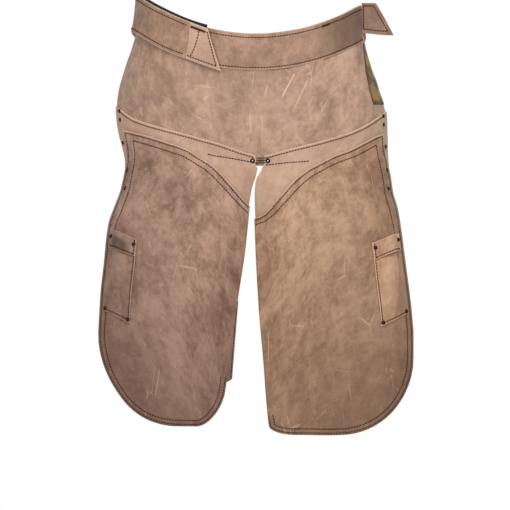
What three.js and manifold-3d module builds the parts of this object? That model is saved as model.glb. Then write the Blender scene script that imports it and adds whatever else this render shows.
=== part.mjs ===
// A split-leg leather work apron, hanging as it does on its wearer. Millimetres.
// +X is the wearer's left, +Y the wearer's back, +Z up. The origin is the centre of the waist,
// level with the middle of the waistband at the front.
import * as THREE from "three";
import { mergeVertices } from "three/addons/utils/BufferGeometryUtils.js";
import Module from "manifold-3d";

const wasm = await Module();
wasm.setup();

// ---- driving sizes ----
const LEATHER = 2; // thickness of every leather sheet
const PAD = 1; // thickness of a hook, loop or label pad
const GAP = 0.5; // air between layers that are sewn or pressed together
const LAYER = LEATHER + GAP; // step from one leather layer to the next

const WAIST_BACK_DEPTH = 96; // from the waist's centre to the form, at the back
const BAND_HEIGHT = 55;
const BAND_RISE_RIGHT = 58; // how much higher the band is at a hip than at the front
const BAND_RISE_LEFT = 46;
const BAND_LEFT_END = 78; // degrees round from the front
const BAND_RIGHT_END = -74;
const BELT_HEIGHT = 56;
const BELT_SAG = 18; // how much lower the belt hangs at the back than the band at the front
const BELT_LEFT_END = 93;

const LEG_FRONT_DEPTH = 126; // from the waist's centre to the front of the leg flaps
const LEG_WRAP = 0.8; // share of the thigh's rounding that a leg flap takes up
const LEG_FORM_TOP = -135; // the form turns from hips to thighs between these heights
const LEG_FORM_FULL = -330;
const YOKE_GAP = 1.2; // slot between a yoke strip and the head of the leg flap under it
const YOKE_LAP = 18; // how far the hip panel reaches down behind the leg flap
const LEG_EASE = 1; // extra air behind a leg flap, which swings

const TAB_LENGTH = 52; // of either tab, along its lower edge
const RIGHT_TAB_TOP_LENGTH = 28;
const RIGHT_TAB_DROP = 0.36; // how far the right tab drops for each millimetre of its length
const LEFT_TAB_TOP_LENGTH = 22;
const LEFT_TAB_HEIGHT = 46;
const TAB_SPREAD = 25; // degrees by which the left tab points back from straight sideways
const TAB_ROOT = -32.5; // degrees round from the front at which the right tab is sewn on
const LOOP_END = TAB_ROOT + 9; // where the loop pad under it ends

const POCKET_WIDTH = 38; // as seen from the front
const POCKET_HEIGHT = 124;
const POCKET_TOP_SLANT = 12; // how much higher the outer corner is than the inner one
const POCKET_BOTTOM_SLANT = 19;
const POCKET_BELLY = 14; // how far the pocket's middle stands off the leg
const POCKET_FLANGE = 0.16; // share of the width that is sewn flat along each side
const POCKET_SEAM = 0.92; // share of the height below which the bottom is sewn flat
const POCKET_BAND = 26; // height of the band across the mouth
const POCKET_BAND_PROUD = 4; // how far the band stands off the pocket's front
const POCKET_INSET = 7; // from the leg's outer edge to the pocket

const STRAP_WIDTH = 40;
const STRAP_BEHIND = 62; // how far behind the waist's centre the thigh strap passes
const STRAP_OUTER_HEIGHT = -193;
const STRAP_INNER_HEIGHT = -352;
const TAIL_WIDTH = 34;
const TAIL_LENGTH = 130;
const TAIL_SLANT = 0.08; // how far outward it runs for each millimetre down

const EDGE_RIVET = 6; // from a flap's outer edge to the rivets along it
const RIVET_CAP = 3; // radii and heights of a tubular rivet
const RIVET_DOME = 1.3;
const RIVET_SHANK = 1.3;
const RIVET_HOLE = 1.7;
const RIVET_BURR = 2.6;
const RIVET_SIDES = 6;
const RIVET_SLACK = 0.9; // air under the head and over the burr
const RIVET_BURR_HEIGHT = 0.8;

const COLUMN = 7; // degrees between the columns of cells round the hips
const LEG_COLUMNS = 13;
const LEG_ROWS = 16;
const DEGREE = Math.PI / 180;

// ---- helpers ----
const lerp = THREE.MathUtils.lerp;
const clamp = THREE.MathUtils.clamp;
const smoothstep = THREE.MathUtils.smoothstep;

// A smooth curve through [key, value] pairs with rising keys, as a function of the key.
function through(pairs) {
  const last = pairs.length - 1;
  const slopes = pairs.map((pair, i) => {
    const before = pairs[Math.max(0, i - 1)];
    const after = pairs[Math.min(last, i + 1)];
    return (after[1] - before[1]) / (after[0] - before[0]);
  });
  return (key) => {
    const k = clamp(key, pairs[0][0], pairs[last][0]);
    const i = clamp(pairs.findIndex((pair) => pair[0] >= k) - 1, 0, last - 1);
    const span = pairs[i + 1][0] - pairs[i][0];
    const t = (k - pairs[i][0]) / span;
    const rise = pairs[i + 1][1] - pairs[i][1];
    const ease = t * t * (3 - 2 * t);
    const bend = t * (1 - t) * span;
    return pairs[i][1] + rise * ease + bend * ((1 - t) * slopes[i] - t * slopes[i + 1]);
  };
}

// ---- the two sides of the wearer ----
// Every curve gives a distance outward from the middle, or a height at such a distance.
//   outer: the form's half width, down the hip and the leg flap's outer edge, by height
//   inner: the leg flap's inner edge, by height
//   head: top edge of the leg flap; patch: top edge of its wear patch; yoke: top of the yoke strip
//   hem: the bottom edge's height, its outer corner's width and height, and its inner corner's
const RIGHT = {
  name: "right",
  sign: -1,
  outer: through([[-421, 230], [-358, 226], [-316, 221], [-260, 213.5], [-238, 206],
    [-206, 194.5], [-176, 191], [-157, 192], [-125, 200], [-106, 204.5], [-79, 206], [-58, 203.5],
    [-40, 199], [-13, 190.5], [2, 185], [26, 178], [50, 173], [90, 169]]),
  inner: through([[-562, 57], [-503, 49], [-391, 34], [-305, 21], [-253, 14.5], [-226, 11],
    [-200, 5.5], [-188, 1], [-171, -4]]),
  head: through([[-6, -169], [37.5, -161], [70, -155], [96, -145], [118.5, -137], [151.5, -125],
    [193.5, -113], [205, -110]]),
  patch: through([[6, -236], [20, -219], [37.5, -197], [61.5, -172], [85.5, -156], [99, -147],
    [118.5, -139], [151.5, -127], [193.5, -115], [205, -112]]),
  yoke: through([[-6, -156], [21, -149], [54, -137], [85.5, -128], [118.5, -119], [142.5, -112],
    [168, -104], [184, -97], [205, -81]]),
  yokeStart: -1,
  yokeShift: 0,
  crotchRivet: -1.2,
  tailTop: 24,
  bandRise: BAND_RISE_RIGHT,
  hem: { bottom: -562, outerWidth: 0.64, outerHeight: 141, innerWidth: 0.2, innerHeight: 59 },
  pocketTop: -284,
};
const LEFT = {
  name: "left",
  sign: 1,
  outer: through([[-421, 233], [-379, 229], [-326, 222], [-295, 217], [-268, 213], [-238, 208],
    [-211, 200.5], [-185, 198], [-148, 195.5], [-103, 195.5], [-83, 193], [-58, 184.5],
    [-43, 180], [-28, 174], [10, 163.5], [50, 160], [90, 158]]),
  inner: through([[-575, 27], [-547, 24], [-463, 17.5], [-400, 12], [-316, 7], [-253, 4],
    [-206, 1.5], [-190, 3], [-180, 8.5], [-171, 12]]),
  head: through([[12, -171], [50, -168], [90, -164], [115.5, -155], [140, -145], [161, -133],
    [177, -124], [195, -118]]),
  patch: through([[0, -250], [18, -241.5], [37.5, -218], [55.5, -196], [75, -179], [94.5, -168],
    [115.5, -157], [140, -147], [161, -135], [177, -126], [195, -120]]),
  yoke: through([[12, -156], [58.5, -144], [108, -131], [140, -121], [165, -109], [181.5, -98],
    [195, -88]]),
  yokeStart: 13,
  yokeShift: -8,
  crotchRivet: 5.6,
  tailTop: 14,
  bandRise: BAND_RISE_LEFT,
  hem: { bottom: -575, outerWidth: 0.5, outerHeight: 116, innerWidth: 0.2, innerHeight: 14 },
  pocketTop: -289,
};
const SIDES = [RIGHT, LEFT];

// ---- the form that the leather lies on ----
const frontDepth = through([[-110, 118], [-60, 114], [0, 107], [40, 104], [90, 104]]);
const legBow = through([[-575, 84], [-400, 98], [-250, 122], [-150, 146]]);
const EDGE = 0.3; // keeps the height field off the form's vertical tangent

const halfWidth = (side, z) => side.outer(z) + EDGE;

// Front surface of the form at a distance outward from the middle, as a Y value.
function frontOf(side, out, z) {
  const across = clamp(out / halfWidth(side, z), -1, 1);
  const hip = -frontDepth(z) * Math.sqrt(Math.max(1e-5, 1 - across * across));
  const share = smoothstep(-z, -LEG_FORM_TOP, -LEG_FORM_FULL);
  if (share === 0) return hip;
  const middle = (side.inner(z) + side.outer(z)) / 2;
  const reach = LEG_WRAP * (out - middle) / (side.outer(z) - middle);
  const leg = legBow(z) * (1 - Math.sqrt(1 - clamp(reach * reach, 0, 0.98))) - LEG_FRONT_DEPTH;
  return lerp(hip, leg, share);
}

// Outward normal of the form's front.
function normalOf(side, out, z) {
  const step = 0.1;
  const slopeOut = (frontOf(side, out + step, z) - frontOf(side, out - step, z)) / (2 * step);
  const slopeUp = (frontOf(side, out, z + step) - frontOf(side, out, z - step)) / (2 * step);
  return new THREE.Vector3(side.sign * slopeOut, -1, slopeUp).normalize();
}

// A point on the front of the form, a given distance off it.
function onFront(side, out, z, layer) {
  const base = new THREE.Vector3(side.sign * out, frontOf(side, out, z), z);
  return base.addScaledVector(normalOf(side, out, z), layer);
}

// The same by an angle round the hips from the middle of the front, positive to the left.
function onHips(angle, z, layer) {
  const side = angle < 0 ? RIGHT : LEFT;
  return onFront(side, halfWidth(side, z) * Math.sin(Math.abs(angle) * DEGREE), z, layer);
}

// A point round the whole waist, by angle: the band and the belt follow it.
function aroundWaist(angle, z) {
  const sin = Math.sin(angle * DEGREE);
  const cos = Math.cos(angle * DEGREE);
  const deep = cos > 0 ? frontDepth(z) : WAIST_BACK_DEPTH;
  return new THREE.Vector3(halfWidth(sin < 0 ? RIGHT : LEFT, z) * sin, -deep * cos, z);
}

function onWaist(angle, z, layer) {
  const step = 0.1;
  const round = aroundWaist(angle + step, z).sub(aroundWaist(angle - step, z));
  const up = aroundWaist(angle, z + step).sub(aroundWaist(angle, z - step));
  return aroundWaist(angle, z).addScaledVector(round.cross(up).normalize(), layer);
}

function bandMiddle(angle) {
  const sin = Math.sin(angle * DEGREE);
  return (sin < 0 ? RIGHT : LEFT).bandRise * sin ** 2;
}

function beltMiddle(angle) {
  const behind = Math.max(0, -Math.cos(angle * DEGREE));
  return bandMiddle(angle) - BELT_SAG * behind;
}

// ---- sheet and solid builders ----
function closed(geometry) {
  geometry.deleteAttribute("normal");
  geometry.deleteAttribute("uv");
  return mergeVertices(geometry, 1e-4);
}

function turnedOut(geometry) {
  const at = geometry.attributes.position;
  const index = geometry.index.array;
  const corner = (k) => new THREE.Vector3().fromBufferAttribute(at, index[k]);
  let volume = 0;
  for (let i = 0; i < index.length; i += 3) {
    volume += corner(i).dot(corner(i + 1).cross(corner(i + 2)));
  }
  if (volume < 0) {
    for (let i = 0; i < index.length; i += 3) {
      [index[i + 1], index[i + 2]] = [index[i + 2], index[i + 1]];
    }
  }
  return geometry;
}

// A sheet whose corners are placed by place(u, v, layer) at the given shares across and down.
function sheet(shares, rows, low, thick, place) {
  const geometry = closed(new THREE.BoxGeometry(1, 1, 1, shares.length - 1, rows, 1));
  const at = geometry.attributes.position;
  for (let i = 0; i < at.count; i += 1) {
    const u = shares[Math.round((at.getX(i) + 0.5) * (shares.length - 1))];
    const v = 0.5 - at.getY(i);
    const point = place(u, v, low + (at.getZ(i) + 0.5) * thick);
    at.setXYZ(i, point.x, point.y, point.z);
  }
  return turnedOut(geometry);
}

// Evenly spread shares, for sheets that lie on nothing curved.
const even = (count) => Array.from({ length: count + 1 }, (_, i) => i / count);

// Angles from one end to the other, on the hips' common columns wherever they fall between.
function columns(from, to) {
  const list = [from];
  for (let a = Math.ceil(from / COLUMN) * COLUMN; a < to; a += COLUMN) {
    if (a > from + 1 && a < to - 1) list.push(a);
  }
  return [...list, to];
}

function toSolid(geometry) {
  return new wasm.Manifold(new wasm.Mesh({
    numProp: 3,
    vertProperties: Float32Array.from(geometry.attributes.position.array),
    triVerts: Uint32Array.from(geometry.index.array),
  }));
}

function toGeometry(solid) {
  const mesh = solid.getMesh();
  const geometry = new THREE.BufferGeometry();
  geometry.setAttribute("position", new THREE.BufferAttribute(mesh.vertProperties, 3));
  return geometry.setIndex(new THREE.BufferAttribute(mesh.triVerts, 1));
}

const VIEW_DEPTH = 400;

// Keeps the part of a solid that lies inside an outline drawn in the front view.
function trimmed(geometry, outline) {
  const shape = new THREE.Shape(outline.map(([x, z]) => new THREE.Vector2(x, z)));
  const prism = new THREE.ExtrudeGeometry(shape, { depth: VIEW_DEPTH, bevelEnabled: false });
  prism.rotateX(Math.PI / 2).translate(0, VIEW_DEPTH / 2, 0);
  return toGeometry(toSolid(geometry).intersect(toSolid(turnedOut(closed(prism)))));
}

// Front-view outline of the area between two height curves of a side.
function between(side, from, to, low, high) {
  const steps = 18;
  const distances = even(steps).map((t) => lerp(from, to, t));
  const top = distances.map((out) => [side.sign * out, high(out)]);
  const bottom = distances.map((out) => [side.sign * out, low(out)]);
  return [...top, ...bottom.reverse()];
}

// ---- rivets ----
const ALONG = new THREE.Vector3(0, 1, 0);

function lathe(profile, segments) {
  return closed(new THREE.LatheGeometry(profile.map(([r, y]) => new THREE.Vector2(r, y)), segments));
}

function standOn(geometry, point, direction) {
  geometry.applyQuaternion(new THREE.Quaternion().setFromUnitVectors(ALONG, direction));
  return geometry.translate(point.x, point.y, point.z);
}

// A rivet through the layers from low to high at a point of the form.
function rivet(point, direction, low, high) {
  const head = high + RIVET_SLACK;
  const foot = low - RIVET_SLACK;
  const profile = [
    [0, foot - RIVET_BURR_HEIGHT],
    [RIVET_BURR, foot - RIVET_BURR_HEIGHT],
    [RIVET_BURR, foot],
    [RIVET_SHANK, foot],
    [RIVET_SHANK, head],
    [RIVET_CAP, head],
    [RIVET_CAP * 0.75, head + RIVET_DOME * 0.8],
    [0, head + RIVET_DOME],
  ];
  return turnedOut(standOn(lathe(profile, RIVET_SIDES), point, direction));
}

function rivetHole(point, direction) {
  const reach = 40;
  const profile = [[0, -reach], [RIVET_HOLE, -reach], [RIVET_HOLE, reach], [0, reach]];
  return turnedOut(standOn(lathe(profile, RIVET_SIDES), point, direction));
}

// ---- the assembly ----
const finish = (color, roughness, metalness = 0) =>
  new THREE.MeshStandardMaterial({ color, roughness, metalness });
const MATERIALS = {
  leather: finish(0x9a7453, 0.7),
  smoothLeather: finish(0xb08c6c, 0.6),
  hookAndLoop: finish(0x161514, 0.95),
  label: finish(0x4a3f22, 0.6),
  rivet: finish(0x4a4038, 0.45, 0.9),
};

const pieces = new Map();

function add(name, geometry, material) {
  pieces.set(name, { geometry, material });
}

// Rivets two or more pieces together and drills each of them.
function fasten(name, place, low, high, drilled) {
  const point = place(0);
  const direction = place(1).sub(point);
  add(name, rivet(point, direction, low, high), MATERIALS.rivet);
  drilled.forEach((piece) => {
    const entry = pieces.get(piece);
    const hole = toSolid(rivetHole(point, direction));
    entry.geometry = toGeometry(toSolid(entry.geometry).subtract(hole));
  });
}

// ---- waistband, lining and hip panel ----
function bandSheet(from, to, height, low, thick, shift = 0) {
  return sheet(columns(from, to), 3, low, thick, (angle, v, layer) =>
    onWaist(angle, bandMiddle(angle) + shift + height * (0.5 - v), layer));
}

const HIP_END = 88;
const HIP_TOP_ROW = 70;
const HIP_ROW = 13; // height of a row of cells on the hips
const HIP_ROWS = 20;
const SLIT_MIDDLE = 4; // where the slit between the legs opens, and how it clears the hip panel
const SLIT_CLEAR = 10;
const SLIT_FADE = 36;

function addHipPanel() {
  const whole = sheet(columns(-HIP_END, HIP_END), HIP_ROWS, 0, LEATHER, (angle, v, layer) =>
    onHips(angle, HIP_TOP_ROW - HIP_ROWS * HIP_ROW * v, layer));
  const reach = 230;
  const xs = even(30).map((t) => lerp(-reach, reach, t));
  const sideOf = (x) => (x < 0 ? RIGHT : LEFT);
  const bandAt = (x) => {
    const side = sideOf(x);
    return side.bandRise * clamp(x / halfWidth(side, side.bandRise), -1, 1) ** 2;
  };
  const lapAt = (x) => YOKE_LAP * smoothstep(Math.abs(x - SLIT_MIDDLE), SLIT_CLEAR, SLIT_FADE);
  const top = xs.map((x) => [x, bandAt(x) + BAND_HEIGHT * 0.2]);
  const bottom = xs.map((x) => [x, sideOf(x).head(Math.abs(x)) - lapAt(x)]);
  add("hip_panel", trimmed(whole, [...top, ...bottom.reverse()]), MATERIALS.leather);
}

function addHipLabel() {
  const top = 14;
  const bottom = -79;
  const cut = through([[bottom, 66.5], [-64, 67], [-37, 69], [10, 79], [top, 80]]);
  const geometry = sheet(even(4), 8, LAYER, PAD, (u, v, layer) => {
    const z = lerp(top, bottom, v);
    return onHips(lerp(cut(z), HIP_END - 1, u), z, layer);
  });
  add("hip_label", geometry, MATERIALS.label);
}

function addWaistband() {
  add("waistband", bandSheet(BAND_RIGHT_END, BAND_LEFT_END, BAND_HEIGHT, LAYER, LEATHER),
    MATERIALS.smoothLeather);
  add("waistband_lining", bandSheet(BAND_RIGHT_END, BAND_LEFT_END, BAND_HEIGHT - 3, -LAYER, LEATHER),
    MATERIALS.leather);
}

// ---- belt and its closures ----
const BELT_PAD_LAYER = 2 * LAYER;
const BELT_LAYER = BELT_PAD_LAYER + 2 * (PAD + GAP);
const BELT_HINGE = -92; // degrees round from the front

function beltLayer(angle) {
  const behind = clamp((angle - BELT_LEFT_END) / (360 + BELT_HINGE - BELT_LEFT_END), 0, 1);
  return lerp(LAYER, BELT_LAYER, behind);
}

function addBelt() {
  const padTop = 3; // how far the loop pad stands proud above the belt end
  add("band_loop_pad",
    bandSheet(BAND_RIGHT_END, LOOP_END, BELT_HEIGHT + padTop, BELT_PAD_LAYER, PAD, padTop / 2),
    MATERIALS.hookAndLoop);
  add("belt_end", bandSheet(BELT_HINGE + 1, TAB_ROOT - 0.4, BELT_HEIGHT, BELT_LAYER, LEATHER),
    MATERIALS.smoothLeather);
  const round = columns(BELT_LEFT_END, 360 + BELT_HINGE + 0.4);
  add("back_belt", sheet(round, 3, 0, LEATHER, (angle, v, layer) =>
    onWaist(angle, beltMiddle(angle) + BELT_HEIGHT * (0.5 - v), beltLayer(angle) + layer)),
    MATERIALS.smoothLeather);
  const pad = columns(BELT_LEFT_END + 1.5, BELT_LEFT_END + 27);
  add("belt_loop_pad", sheet(pad, 4, LEATHER + GAP, PAD, (angle, v, layer) =>
    onWaist(angle, beltMiddle(angle) + (BELT_HEIGHT - 8) * (0.5 - v), beltLayer(angle) + layer)),
    MATERIALS.hookAndLoop);
}

// Millimetres of waist for each radian round from the front, under the right tab.
const tabCurve = Math.hypot(
  halfWidth(RIGHT, 0) * Math.cos(TAB_ROOT * DEGREE),
  frontDepth(0) * Math.sin(TAB_ROOT * DEGREE),
);

// The right tab runs straight on from the belt; its end is cut on the slant, with the point at
// the bottom.
function rightTab(inset, low, thick) {
  const arm = TAB_LENGTH - 2 * inset;
  const place = (u, v, layer) => {
    const height = BELT_HEIGHT - 2 * inset;
    const length = inset + u * lerp(RIGHT_TAB_TOP_LENGTH - inset, arm, v);
    const angle = TAB_ROOT + length / tabCurve / DEGREE;
    const middle = bandMiddle(TAB_ROOT) - RIGHT_TAB_DROP * length;
    return onWaist(angle, middle + height * (0.5 - v), layer);
  };
  return sheet(even(8), 5, low, thick, place);
}

function addRightTab() {
  add("right_tab", rightTab(0, BELT_LAYER, LEATHER), MATERIALS.smoothLeather);
  add("right_tab_hook_pad", rightTab(4, BELT_LAYER - GAP - PAD, PAD), MATERIALS.hookAndLoop);
}

// The left tab is flat and stands off the hip, as it does when it is unfastened.
const LEFT_TAB_LOW = 29;
const HINGE_GAP = 1.25 * LEATHER; // between the band's end and the left tab, which folds both ways
// Where the band ends at the tab's lower edge, at which the waist is widest.
const leftTabRoot = onWaist(BAND_LEFT_END, LEFT_TAB_LOW - 3, LAYER - GAP - PAD);

function leftTab(inset, low, thick) {
  const along = new THREE.Vector3(Math.cos(TAB_SPREAD * DEGREE), Math.sin(TAB_SPREAD * DEGREE), 0);
  const outward = new THREE.Vector3(along.y, -along.x, 0);
  const bottom = LEFT_TAB_LOW;
  const top = bottom + LEFT_TAB_HEIGHT;
  const outline = [
    [inset, bottom + inset],
    [TAB_LENGTH - 1.8 * inset, bottom + inset - 3],
    [TAB_LENGTH - 1.2 * inset, bottom + inset + 1],
    [LEFT_TAB_TOP_LENGTH - 0.6 * inset, top - inset],
    [inset, top - inset],
  ];
  const shape = new THREE.Shape(outline.map(([u, z]) => new THREE.Vector2(u, z)));
  const geometry = closed(new THREE.ExtrudeGeometry(shape, { depth: thick, bevelEnabled: false }));
  const at = geometry.attributes.position;
  for (let i = 0; i < at.count; i += 1) {
    const point = leftTabRoot.clone()
      .addScaledVector(along, at.getX(i) + HINGE_GAP)
      .addScaledVector(outward, low + at.getZ(i));
    at.setXYZ(i, point.x, point.y, at.getY(i));
  }
  return turnedOut(geometry);
}

function addLeftTab() {
  add("left_tab", leftTab(0, PAD + GAP, LEATHER), MATERIALS.smoothLeather);
  add("left_tab_hook_pad", leftTab(5, 0, PAD), MATERIALS.hookAndLoop);
}

// ---- legs ----
const LEG_TOP_ROW = -100;
const LEG_ROW_CROWDING = 1.6; // crowds the rows towards the hips, where the form twists
// Shares across a leg flap, crowded towards its rounded edges.
const legShares = even(LEG_COLUMNS).map((t) => 0.5 - 0.5 * Math.cos(Math.PI * t));

// Height of the hem at a share across the leg flap: level, with an elliptical corner each side.
function hemHeight(side, share) {
  const { bottom, outerWidth, outerHeight, innerWidth, innerHeight } = side.hem;
  const outer = clamp((share - 1 + outerWidth) / outerWidth, 0, 1);
  const inner = clamp((innerWidth - share) / innerWidth, 0, 1);
  const lift = (part, height) => height * (1 - Math.sqrt(1 - part * part));
  return bottom + lift(outer, outerHeight) + lift(inner, innerHeight);
}

// The leg flap's own sheet at a layer; its head is cut to the given curve afterwards.
function legSheet(side, low, topEdge) {
  const whole = sheet(legShares, LEG_ROWS, low, LEATHER, (share, v, layer) => {
    const z = lerp(LEG_TOP_ROW, hemHeight(side, share), v ** LEG_ROW_CROWDING);
    return onFront(side, lerp(side.inner(z), side.outer(z), share), z, layer);
  });
  const floor = () => side.hem.bottom - 20;
  return trimmed(whole, between(side, -30, 250, floor, topEdge));
}

const BASE_LAYER = LAYER + LEG_EASE;
const PATCH_LAYER = BASE_LAYER + LAYER + 0.2;
const POCKET_LAYER = PATCH_LAYER + LAYER;
const POCKET_BAND_LAYER = POCKET_LAYER + LAYER + 0.5 * GAP;

function addLeg(side) {
  add(`${side.name}_leg_panel`, legSheet(side, BASE_LAYER, side.head), MATERIALS.smoothLeather);
  add(`${side.name}_wear_patch`, legSheet(side, PATCH_LAYER, side.patch), MATERIALS.leather);
}

function addYoke(side) {
  const end = side.outer(LEG_TOP_ROW) - 0.5;
  const firstRow = 10;
  const rows = 9;
  const whole = sheet(columns(0, HIP_END), rows, LAYER, LEATHER, (angle, v, layer) =>
    onHips(side.sign * angle, HIP_TOP_ROW - HIP_ROW * (firstRow + rows * v), layer));
  const start = side.yokeStart;
  add(`${side.name}_yoke`, whole, MATERIALS.smoothLeather);
  const outline = between(side, start, end + 10, (out) => side.head(out) + YOKE_GAP, side.yoke);
  pieces.get(`${side.name}_yoke`).geometry = trimmed(whole, outline);
}

// ---- pockets ----
// Where a pocket stands on the leg, from its inner top corner (0, 0) to its outer bottom one (1, 1).
function pocketPlace(side, u, v) {
  const top = side.pocketTop + POCKET_TOP_SLANT * u;
  const bottom = side.pocketTop - POCKET_HEIGHT + POCKET_BOTTOM_SLANT * u;
  const z = lerp(top, bottom, v);
  const outer = side.outer(z) - POCKET_INSET;
  return { out: outer - POCKET_WIDTH * (1 - u), z };
}

// Share of the full belly at a share across the pocket: none along the sewn flanges.
function pocketArch(u) {
  const t = clamp((u - POCKET_FLANGE) / (1 - 2 * POCKET_FLANGE), 0, 1);
  return Math.max(0, Math.sin(Math.PI * t)) ** 0.8;
}

function pocketBelly(u, v) {
  const down = clamp(v / POCKET_SEAM, 0, 1);
  return POCKET_BELLY * pocketArch(u) * (1 - down ** 2.5);
}

const pocketShares = [0, ...even(6).map((t) => lerp(POCKET_FLANGE, 1 - POCKET_FLANGE, t)), 1];

function addPocket(side) {
  const front = sheet(pocketShares, 6, POCKET_LAYER, LEATHER, (u, v, layer) => {
    const { out, z } = pocketPlace(side, u, v);
    return onFront(side, out, z, layer + pocketBelly(u, v));
  });
  const bandShare = POCKET_BAND / POCKET_HEIGHT;
  const band = sheet(pocketShares, 1, POCKET_BAND_LAYER, LEATHER, (u, v, layer) => {
    const { out, z } = pocketPlace(side, u, v * bandShare);
    return onFront(side, out, z, layer + pocketBelly(u, 0) + POCKET_BAND_PROUD * pocketArch(u));
  });
  add(`${side.name}_pocket`, front, MATERIALS.leather);
  add(`${side.name}_pocket_band`, band, MATERIALS.leather);
}

// ---- thigh straps ----
const STRAP_SEWN = 14; // length of the outer end that is riveted inside the leg flap
const STRAP_CLOSED = 32; // length of the inner end that is pressed on inside the leg flap
const STRAP_END_SHARE = 0.08; // of the strap's length, for either end
const STRAP_LAYER = BASE_LAYER - LEG_EASE - LEATHER; // of the sewn end
const CLOSURE_LAYER = BASE_LAYER - 4 * GAP - 2 * PAD - LEATHER; // of the end inside the inner edge

// Centre line of a thigh strap: from the outer edge, round the back, to inside the inner edge.
function strapLine(side) {
  const outer = side.outer(STRAP_OUTER_HEIGHT);
  const inner = side.inner(STRAP_INNER_HEIGHT);
  const point = (out, y, share) =>
    new THREE.Vector3(side.sign * out, y, lerp(STRAP_OUTER_HEIGHT, STRAP_INNER_HEIGHT, share));
  const closure = (out) =>
    onFront(side, out, STRAP_INNER_HEIGHT, CLOSURE_LAYER + LEATHER / 2);
  return new THREE.CatmullRomCurve3([
    point(outer - 4, -30, 0),
    point(outer - 10, 0, 0.12),
    point(outer - 45, STRAP_BEHIND * 0.75, 0.3),
    point((outer + inner) / 2, STRAP_BEHIND, 0.5),
    point(inner + 45, STRAP_BEHIND * 0.62, 0.7),
    point(inner + 14, -16, 0.88),
    closure(inner + 6),
    closure(inner + 6 + STRAP_CLOSED),
  ], false, "centripetal");
}

// A point of a thigh strap: both ends lie on the leg flap, and the rest follows the line.
function strapPoint(side, line, u, across, layer) {
  const tangent = line.getTangentAt(u);
  const outward = new THREE.Vector3(tangent.y, -tangent.x, 0).normalize();
  const free = line.getPointAt(u)
    .addScaledVector(outward, side.sign * (layer - LEATHER / 2))
    .add(new THREE.Vector3(0, 0, across));
  const outerZ = STRAP_OUTER_HEIGHT + across;
  const innerZ = STRAP_INNER_HEIGHT + across;
  const fromStart = u / STRAP_END_SHARE;
  const fromEnd = (1 - u) / STRAP_END_SHARE;
  const sewnOut = side.outer(outerZ) - STRAP_SEWN * (1 - fromStart);
  const closedOut = side.inner(innerZ) + 6 + STRAP_CLOSED * (1 - fromEnd);
  const sewn = onFront(side, sewnOut, outerZ, STRAP_LAYER + layer);
  const closed = onFront(side, closedOut, innerZ, CLOSURE_LAYER + layer);
  return free
    .lerp(sewn, 1 - smoothstep(fromStart, 1, 3))
    .lerp(closed, 1 - smoothstep(fromEnd, 1, 2));
}

function addThighStrap(side) {
  const line = strapLine(side);
  const geometry = sheet(even(32), 2, 0, LEATHER, (u, v, layer) =>
    strapPoint(side, line, u, STRAP_WIDTH * (0.5 - v), layer));
  add(`${side.name}_thigh_strap`, geometry, MATERIALS.leather);
}

// Hook pad on the strap's inner end and the loop pad that it presses on, inside the leg flap.
function addStrapPads(side) {
  const inner = side.inner(STRAP_INNER_HEIGHT);
  const pad = (name, low) => {
    const geometry = sheet(even(4), 4, low, PAD, (u, v, layer) => {
      const z = STRAP_INNER_HEIGHT + (STRAP_WIDTH - 6) * (0.5 - v);
      return onFront(side, inner + 10 + 24 * u, z, layer);
    });
    add(`${side.name}_${name}`, geometry, MATERIALS.hookAndLoop);
  };
  pad("strap_hook_pad", CLOSURE_LAYER + LEATHER + GAP);
  pad("strap_loop_pad", CLOSURE_LAYER + LEATHER + 2 * GAP + PAD);
}

// The strap's spare end hangs down inside the leg flap's inner edge, with one corner cut off.
function addStrapTail(side) {
  const top = STRAP_INNER_HEIGHT - STRAP_WIDTH / 2 - 1.5;
  const bottom = top - TAIL_LENGTH;
  const corner = 12;
  const geometry = sheet(even(4), 8, CLOSURE_LAYER, LEATHER, (u, v, layer) => {
    const z = lerp(top, bottom + corner * (1 - u) ** 2, v);
    const out = side.tailTop + TAIL_SLANT * (top - z) + TAIL_WIDTH * u;
    return onFront(side, out, z, layer);
  });
  add(`${side.name}_strap_tail`, geometry, MATERIALS.leather);
}

// ---- fasteners ----
const CROTCH_HEIGHT = -163;
const CROTCH_LAYER = -LAYER - 3 * GAP; // of the backing piece inside the hip panel

function addCrotchBacking() {
  const geometry = sheet(even(4), 1, CROTCH_LAYER, LEATHER, (u, v, layer) =>
    onHips(lerp(-3, 9, u), CROTCH_HEIGHT + 12 * (0.5 - v), layer));
  add("crotch_backing", geometry, MATERIALS.leather);
}

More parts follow.
